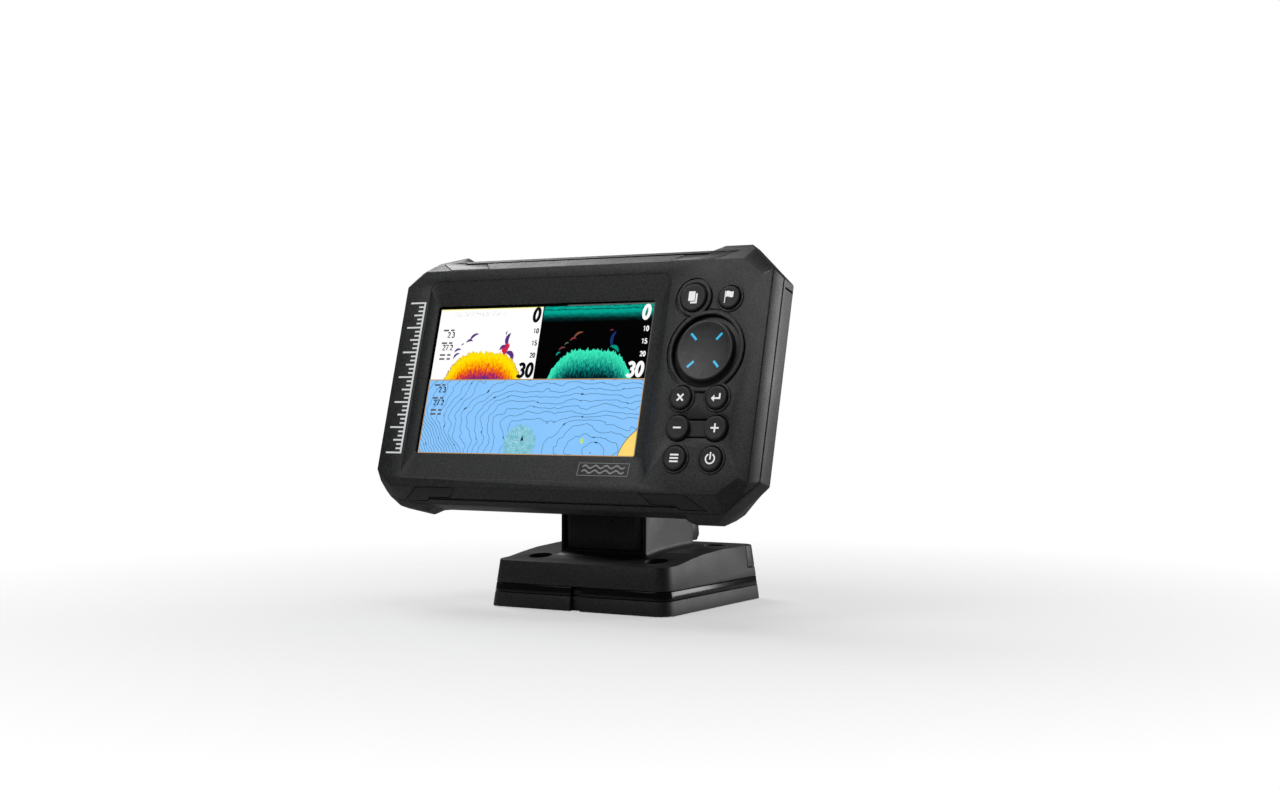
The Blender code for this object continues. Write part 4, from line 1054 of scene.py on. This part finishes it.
def chart_picture():
    """A blue chart with contours and spot marks, a teal disc round the boat, and sandy land in one corner."""
    n = Picture("chart_picture")
    width, height = CHART_SIZE
    lines, away = contour(n, 0.12)
    sea = n.mix(n.range(n.grain(0.05, 0.1, 2.0, 3.0), 0.3, 0.7), (0.245, 0.560, 0.985), (0.265, 0.580, 1.0))
    scatter = n.cells(1.0, n.point(n.x * 0.22, n.z * 0.24))
    spots = n.range(scatter, 0.16, 0.20, 1.0, 0.0) * n.range(away, 0.30, 0.38, 1.0, 0.0)
    colour = n.mix(lines * 0.74, sea, (0.020, 0.060, 0.100))
    colour = n.mix(spots * 0.9, colour, (0.02, 0.04, 0.06))

    x, z = 0.48 * width, 0.14 * height
    ragged = n.distance(x, z) + (n.grain(0.5, 0.5, 3.0, 7.0) - 0.5) * 3.0
    swirl = n.distance(x - 1.0, z + 4.5) * 1.15 + n.grain(0.12, 0.12, 1.0, 5.0) * 5.0
    teal = n.mix(n.range(n.grain(0.5, 0.5, 3.0, 2.0), 0.3, 0.7), (0.14, 0.46, 0.56), (0.42, 0.78, 0.86))
    teal = n.mix(n.range(swirl.from_half(), 0.08, 0.2, 1.0, 0.0) * 0.55, teal, (0.02, 0.22, 0.28))
    colour = n.mix(n.range(ragged, 7.2, 8.6, 0.92, 0.0), colour, teal)

    shore = n.distance(width + 10.5, -4.5)
    colour = n.mix(n.range(shore, 18.6, 18.8, 1.0, 0.0), colour, (0.10, 0.09, 0.05))
    return n.light(n.mix(n.range(shore, 18.3, 18.5, 1.0, 0.0), colour, (1.0, 0.70, 0.18)))


def pane(name, corner, size, material):
    """A thin closed sheet in front of the glass, with its origin at its lower left corner."""
    x, z = corner
    sheet = prism(name, bar(0, 0, *size), 0.0, 0.03, WORLD)
    sheet.matrix_world = UNIT @ Matrix.Translation(Vector((x, GLASS_FRONT - 0.035, z)) * MM)
    return settle(sheet, material, body="unit")


def glyph(digit):
    """A digit as one pen stroke in a cell 0.6 wide and 1 high, and whether the stroke closes on itself."""
    if digit == "0":
        return [(0.3 + 0.2 * x, 0.5 + 0.42 * z) for x, z in arc((0, 0), 1, 0, 360, 28)[:-1]], True
    strokes = {
        "1": [(0.1, 0.76), (0.32, 0.92), (0.32, 0.08)],
        "2": arc((0.29, 0.70), 0.21, 165, -35, 12) + [(0.08, 0.1), (0.53, 0.1)],
        "3": arc((0.27, 0.71), 0.2, 150, -80, 12) + arc((0.27, 0.30), 0.23, 80, -150, 14),
        "5": [(0.5, 0.91), (0.14, 0.91), (0.11, 0.53)] + arc((0.27, 0.32), 0.235, 100, -150, 14),
        "7": [(0.07, 0.91), (0.53, 0.91), (0.22, 0.08)],
        ".": [(0.1, 0.08), (0.1, 0.12)],
    }
    return strokes[digit], False


def write_numbers(name, rows, material):
    """Flat numbers before the glass. Each row: text, right end, foot, height, half a stroke and slant."""
    curve = bpy.data.curves.new(name, "CURVE")
    curve.dimensions = "3D"
    curve.bevel_depth = 1.0
    curve.bevel_resolution = 3
    curve.use_fill_caps = True
    for text, right, foot, height, half, slant in rows:
        widths = [0.24 if digit == "." else 0.62 for digit in text]
        x = right - sum(widths) * height
        for digit, width in zip(text, widths):
            points, closed = glyph(digit)
            spline = curve.splines.new("POLY")
            spline.points.add(len(points) - 1)
            for point, (px, pz) in zip(spline.points, points):
                point.co = (x + (px + slant * pz) * height, 0.0, foot + pz * height, 1.0)
                point.radius = half
            spline.use_cyclic_u = closed
            x += width * height
    drawn = bpy.data.objects.new(name, curve)
    bpy.context.scene.collection.objects.link(drawn)
    mesh = bpy.data.meshes.new_from_object(drawn.evaluated_get(bpy.context.evaluated_depsgraph_get()))
    bpy.data.objects.remove(drawn, do_unlink=True)
    flat = Matrix.Translation((0.0, GLASS_FRONT - 0.05, 0.0)) @ Matrix.Scale(0.02, 4, (0, 1, 0))
    mesh.transform(UNIT @ Matrix.Scale(MM, 4) @ flat)
    numbers = bpy.data.objects.new(name, mesh)
    bpy.context.scene.collection.objects.link(numbers)
    return settle(numbers, material, body="unit")


def lit_shapes(name, outlines, material):
    """Flat shapes of the lit picture."""
    shapes = prisms(name, outlines, GLASS_FRONT - 0.05, GLASS_FRONT + 0.05)
    return settle(shapes, material, body="unit")


def make_screen():
    refine("display_window", 0.15, GLASS, UNIT)
    left, low = PICTURE_CENTRE[0] - PICTURE_HALF[0], PICTURE_CENTRE[1] - PICTURE_HALF[1]
    right, high = PICTURE_CENTRE[0] + PICTURE_HALF[0], PICTURE_CENTRE[1] + PICTURE_HALF[1]
    middle_x, middle_z = PICTURE_CENTRE
    pane("picture_sonar", (left + 0.1, middle_z + 0.3), SONAR_SIZE, sonar_picture())
    pane("picture_zoom", (middle_x + 0.3, middle_z + 0.3), SONAR_SIZE, zoom_picture())
    pane("picture_chart", (left + 0.1, low + 0.2), CHART_SIZE, chart_picture())
    lines = [
        bar(left - 0.3, middle_z - 0.2, right + 0.3, middle_z + 0.3),
        bar(left - 0.3, low - 0.2, right + 0.3, low + 0.2),
        bar(left - 0.3, low + 0.2, left + 0.1, middle_z - 0.2),
        bar(right - 0.1, low + 0.2, right + 0.3, middle_z - 0.2),
    ]
    lit_shapes("picture_dividers", lines, TAN_LIGHT)
    split = bar(middle_x - 0.25, middle_z + 0.3, middle_x + 0.25, high)
    lit_shapes("picture_split", [split], BLACK_LIGHT)

    small = (("10", 12), ("15", 17.4), ("20", 22.8))
    for side, edge, material in (("left", middle_x, BLACK_LIGHT), ("right", right, WHITE_LIGHT)):
        rows = [(text, edge - 0.9, high - drop, 2.3, 0.26, 0.0) for text, drop in small]
        rows.append(("0", edge - 1.3, high - 7.0, 6.6, 0.78, 0.1))
        rows.append(("30", edge - 1.0, middle_z + 0.9, 6.6, 0.78, 0.1))
        write_numbers(f"depths_{side}", rows, material)
    readout, dashes = [], []
    for top in (high - 8.2, middle_z - 0.6):
        for text, drop in (("2.3", 5.0), ("27.2", 10.8)):
            readout.append((text, left + 9.4, top - drop, 2.7, 0.28, 0.0))
        for drop in (2.0, 7.8, 13.2, 15.0):
            z = top - drop
            dashes += [bar(left + 3.0, z, left + 5.8, z + 0.8), bar(left + 6.9, z, left + 8.7, z + 0.8)]
    write_numbers("readouts", readout, BLACK_LIGHT)
    lit_shapes("readout_dashes", dashes, GREY_LIGHT)

    boat = [(-0.85, -1.2), (0.0, -0.7), (0.85, -1.2), (0.0, 1.5)]
    boat_place = (left + 0.49 * CHART_SIZE[0], low + 0.21 * CHART_SIZE[1])
    lit_shapes("picture_boat", [moved(boat, boat_place)], BLACK_LIGHT)
    buoy_place = (left + 0.765 * CHART_SIZE[0], low + 0.19 * CHART_SIZE[1])
    lit_shapes("picture_buoy", [moved(rounded((-0.6, -1.1), (0.6, 1.1), 0.4, 4), buoy_place)], LIME_LIGHT)


# ---------------------------------------------------------------- what stands for the lettering


def make_margin_scale():
    """A printed depth scale of plain ticks in the left margin."""
    ticks = []
    steps, half, spine = 36, 0.36, -79.6
    low, high = -34.0, 34.0
    for i in range(steps + 1):
        z = low + (high - low) * i / steps
        length = 7.4 if i % 6 == 0 else 4.6 if i % 3 == 0 else 2.6
        ticks.append(bar(spine - length, z - half, spine, z + half))
    ticks.append(bar(spine, low - half, spine + 0.9, high + half))
    scale = prisms("margin_scale", ticks, FACE - 0.02, FACE + 0.15)
    return settle(scale, SILVER_INK, "front_bezel")


def slope_depth(z):
    """Depth of the recess's lower slope at this height."""
    (_, low_mouth), (_, low_lip) = MOUTH[0], LIP[0]
    return LIP_DEPTH + (FACE - LIP_DEPTH) * (low_lip - z) / (low_lip - low_mouth)


def wave(x0, x1, z, rise, half, turns, steps=36):
    """A band that follows a wave, as one outline."""
    along = [x0 + (x1 - x0) * i / steps for i in range(steps + 1)]
    middle = [(x, z + rise * math.sin(2 * math.pi * turns * (x - x0) / (x1 - x0))) for x in along]
    return [(x, y + half) for x, y in middle] + [(x, y - half) for x, y in reversed(middle)]


def make_badge():
    """A plain wave mark in a thin frame, under the picture."""
    x0, z0, x1, z1 = 12.0, -42.0, 36.0, -36.4
    line = 0.22
    outlines = [
        bar(x0, z0, x1, z0 + line), bar(x0, z1 - line, x1, z1),
        bar(x0, z0 + line, x0 + line, z1 - line), bar(x1 - line, z0 + line, x1, z1 - line),
        wave(x0 + 2, x1 - 2, z0 + 3.9, 0.62, 0.34, 4), wave(x0 + 2, x1 - 2, z0 + 1.8, 0.62, 0.34, 4),
    ]
    bm = bmesh.new()
    for outline in outlines:
        add_loft(bm, [[(x, slope_depth(z) + lift, z) for x, z in outline] for lift in (-0.025, 0.15)])
    return settle(as_object("badge_wave", bm, UNIT), GREY_INK, "front_bezel")


# ---------------------------------------------------------------- bracket, small pieces and kept CAD nodes


def densified(outline, step=4.0):
    """The same outline with more points along its long sides."""
    points = []
    for (x0, y0), (x1, y1) in zip(outline, outline[1:] + outline[:1]):
        parts = max(1, round(math.hypot(x1 - x0, y1 - y0) / step))
        points += [(x0 + (x1 - x0) * i / parts, y0 + (y1 - y0) * i / parts) for i in range(parts)]
    return points


def post_collar():
    """The fillet where the post rises from the crown."""
    radius = 2.4
    steps = [(-0.4, radius + 0.2)]
    for i in range(6):
        angle = math.radians(90 * i / 5)
        steps.append((radius * (1 - math.cos(angle)), radius * (1 - math.sin(angle))))
    steps.append((radius, -1.2))
    sections = []
    for grow, lift in steps:
        outline = densified(rounded((-21.3 - grow, -21.7 - grow), (21.3 + grow, 19.9 + grow), 0.7 + grow, 5))
        sections.append([(x, y, between(CROWN, y) + lift) for x, y in outline])
    return loft("post_collar", sections, WORLD)


def make_lock_spring():
    """The wire coil that presses the lock bar down."""
    coil, wire, turns, per_turn, sides = 2.4, 0.4, 7, 20, 10
    low, high, depth, travel = 30.8, 47.2, 12.2, 3.0
    closed = 0.85  # rise of the closed turn at each end
    sections = []
    for step in range(turns * per_turn + 1):
        turn = step / per_turn
        if turn < 1:
            height = low + closed * turn
        elif turn > turns - 1:
            height = high - closed * (turns - turn)
        else:
            height = low + closed + (high - low - 2 * closed) * (turn - 1) / (turns - 2)
        around = 2 * math.pi * turn
        ring = []
        for side in range(sides):
            angle = 2 * math.pi * side / sides
            out, up = coil + wire * math.cos(angle), wire * math.sin(angle)
            ring.append((out * math.cos(around), depth + out * math.sin(around), height + up))
        sections.append(ring)
    spring = loft("swivel_lock_spring_fine", sections, WORLD)
    settle(spring, STEEL, "swivel_lock_spring", replaces=True, angle=60)
    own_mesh(spring)


def make_bracket():
    make_lock_spring()
    pedestal = softened("pedestal", 0.4)
    carve(pedestal, [post_collar()], "UNION")
    carve(pedestal, [box("slot_again", (-4.3, 13.0, 15.0), (4.3, 30.0, 30.0), WORLD)])
    settle(pedestal, BRACKET, "pedestal", replaces=True)
    for node, width in (("base_plate", 0.4), ("post_front_cover", 0.25), ("base_release_tab", 0.4)):
        refine(node, width, BRACKET)
    refine("base_band", 0.25, BAND)
    refine("swivel_lock_slider", 0.8, SATIN)
    for node in ("tilt_head", "release_lever"):
        refine(node, 0.5, SATIN)
    for node in ("tilt_bolt", "tilt_nut", "swivel_screw"):
        refine(node, 0.25, STEEL)


def make_case_pieces():
    for corner in CORNERS:
        refine(f"{corner}_trim", 0.22, TRIM, UNIT)
        refine(f"case_screw_{corner}", 0.12, STEEL, UNIT)
    for node in ("power_socket", "sonar_socket"):
        refine(node, 0.25, SATIN, UNIT)
    refine("card_door", 0.4, RUBBER, UNIT)


def dress_kept_nodes():
    """Inner pieces keep their CAD shape and get a material of their own."""
    finishes = [
        (ACETAL, "turntable_disc", "friction_washer_left", "friction_washer_right", "pad_gimbal"),
        (STEEL, "swivel_washer", "release_spring", "release_lever_pin"),
        (SILICONE, "case_gasket", "keymat"),
        (SHEET, "card_reader", "lcd_frame"),
        (INNER, "lcd_panel", "buzzer"),
        (BOARD, "main_board", "key_board"),
        (CERAMIC, "gps_antenna"),
    ]
    for finish, *nodes in finishes:
        for node in nodes:
            materials = frame["nodes"][node].data.materials
            materials.clear()
            materials.append(finish)


# ---------------------------------------------------------------- stage, lights and camera


def make_stage():
    """A pale floor that fades out into the white background."""
    bpy.ops.mesh.primitive_plane_add(size=3.0, location=(0, 0, -0.0004))
    floor = bpy.context.active_object
    floor.name = "floor"
    n = Nodes("floor_paper")
    n.set(Base_Color=(0.86, 0.86, 0.86), Roughness=0.9)
    across = n.add("ShaderNodeVectorMath", operation="LENGTH")
    n.join(n.place(), across.inputs[0])
    n.set(Alpha=n.range(across.outputs["Value"], 0.09, 0.36, 0.5, 0.0))
    n.bump(n.noise(120.0, 3.0, 0.6), 0.05, 0.2)
    floor.data.materials.append(n.material)


ROOM_LIGHT = 0.04
# Name, bearing from straight in front (to the right is positive), height above level, and power.
SOFTBOXES = [
    ("left_back_softbox", -110, 45, 5.0),
    ("right_back_softbox", 135, 10, 4.5),
    ("front_softbox", -20, 40, 2.4),
    ("top_softbox", 0, 88, 1.5),
]


def softbox(name, bearing, rise, power):
    """A square soft light a metre from the object's middle."""
    lamp = bpy.data.lights.new(name, "AREA")
    lamp.shape = "SQUARE"
    lamp.size = 0.5
    lamp.energy = power
    obj = bpy.data.objects.new(name, lamp)
    bpy.context.scene.collection.objects.link(obj)
    around, up = math.radians(bearing), math.radians(rise)
    away = Vector((math.sin(around) * math.cos(up), -math.cos(around) * math.cos(up), math.sin(up)))
    obj.location = Vector((0, 0, 0.09)) + away
    obj.rotation_euler = (-away).to_track_quat("-Z", "Y").to_euler()
    obj.visible_camera = False


def make_lights():
    world = bpy.data.worlds.new("studio")
    bpy.context.scene.world = world
    world.use_nodes = True
    tree = world.node_tree
    room = tree.nodes["Background"]
    room.inputs["Color"].default_value = (1, 1, 1, 1)
    room.inputs["Strength"].default_value = ROOM_LIGHT
    white = tree.nodes.new("ShaderNodeBackground")
    white.inputs["Color"].default_value = (1, 1, 1, 1)
    white.inputs["Strength"].default_value = 1.0
    mix = tree.nodes.new("ShaderNodeMixShader")
    path = tree.nodes.new("ShaderNodeLightPath")
    tree.links.new(path.outputs["Is Camera Ray"], mix.inputs[0])
    tree.links.new(room.outputs[0], mix.inputs[1])
    tree.links.new(white.outputs[0], mix.inputs[2])
    tree.links.new(mix.outputs[0], tree.nodes["World Output"].inputs["Surface"])

    for name, bearing, rise, power in SOFTBOXES:
        softbox(name, bearing, rise, power)


def make_camera():
    camera = bpy.data.cameras.new("camera")
    camera.lens, camera.sensor_width = 50.45, 36.0
    camera.clip_start, camera.clip_end = 0.01, 20.0
    obj = bpy.data.objects.new("camera", camera)
    bpy.context.scene.collection.objects.link(obj)
    obj.location = (0.4022, -0.6791, 0.0897)
    obj.rotation_euler = [math.radians(angle) for angle in (90.10, 0.0, 30.27)]
    bpy.context.scene.camera = obj


HOUSING = moulded("charcoal_moulding", (0.030, 0.031, 0.033), 0.46, 1900.0, 0.05)
BRACKET = moulded("black_moulding", (0.020, 0.020, 0.022), 0.48, 2100.0, 0.04)
TRIM = moulded("satin_trim", (0.018, 0.018, 0.019), 0.36, 3800.0, 0.012)
SATIN = moulded("satin_black", (0.016, 0.016, 0.017), 0.38, 3800.0, 0.015)
INNER = moulded("plain_black", (0.020, 0.020, 0.022), 0.6, 3000.0, 0.02)
BAND = glossy("gloss_black", (0.006, 0.006, 0.007), 0.13)
GLASS = glossy("window_glass", (0.002, 0.002, 0.002), 0.03, 0.02)
KEYCAP = soft_rubber("key_rubber", (0.022, 0.022, 0.024), 0.5)
PADCAP = soft_rubber("pad_rubber", (0.024, 0.024, 0.026), 0.36)
RUBBER = soft_rubber("door_rubber", (0.022, 0.022, 0.024), 0.75)
SILICONE = natural("silicone", (0.22, 0.23, 0.25), 0.6, 0.1, 0.1)
ACETAL = natural("acetal", (0.72, 0.71, 0.68), 0.42, 0.06, 0.05)
CERAMIC = natural("ceramic", (0.62, 0.56, 0.44), 0.55, 0.15)
STEEL = brushed("steel", (0.56, 0.56, 0.57), 0.3)
SHEET = brushed("stamped_sheet", (0.62, 0.63, 0.64), 0.4, (1.0, 40.0, 1.0))
BOARD = laminate("laminate")
# The last number of each glowing ink is painted light: a glow standing in for lamp light on the print.
WHITE_INK = ink("white_ink", (0.80, 0.80, 0.80), painted_glow=0.75)
SILVER_INK = ink("silver_ink", (0.72, 0.73, 0.74), 0.4, 0.6)
GREY_INK = ink("grey_ink", (0.30, 0.30, 0.31), 0.4, 0.3)
DARK_INK = ink("dark_ink", (0.006, 0.006, 0.007))
CYAN_INK = ink("cyan_ink", (0.02, 0.46, 0.74), 0.3, 0.8)
WHITE_LIGHT = lit("white_light", (1.0, 1.0, 1.0))
BLACK_LIGHT = lit("black_light", (0.004, 0.004, 0.005))
GREY_LIGHT = lit("grey_light", (0.10, 0.11, 0.13))
TAN_LIGHT = lit("tan_light", (0.50, 0.32, 0.16))
LIME_LIGHT = lit("lime_light", (0.55, 0.85, 0.05))

make_camera()
make_bezel()
make_case()
make_keys()
make_rocker()
make_pad()
make_screen()
make_margin_scale()
make_badge()
make_bracket()
make_case_pieces()
dress_kept_nodes()
make_stage()
make_lights()

bpy.context.scene.view_settings.view_transform = "Standard"
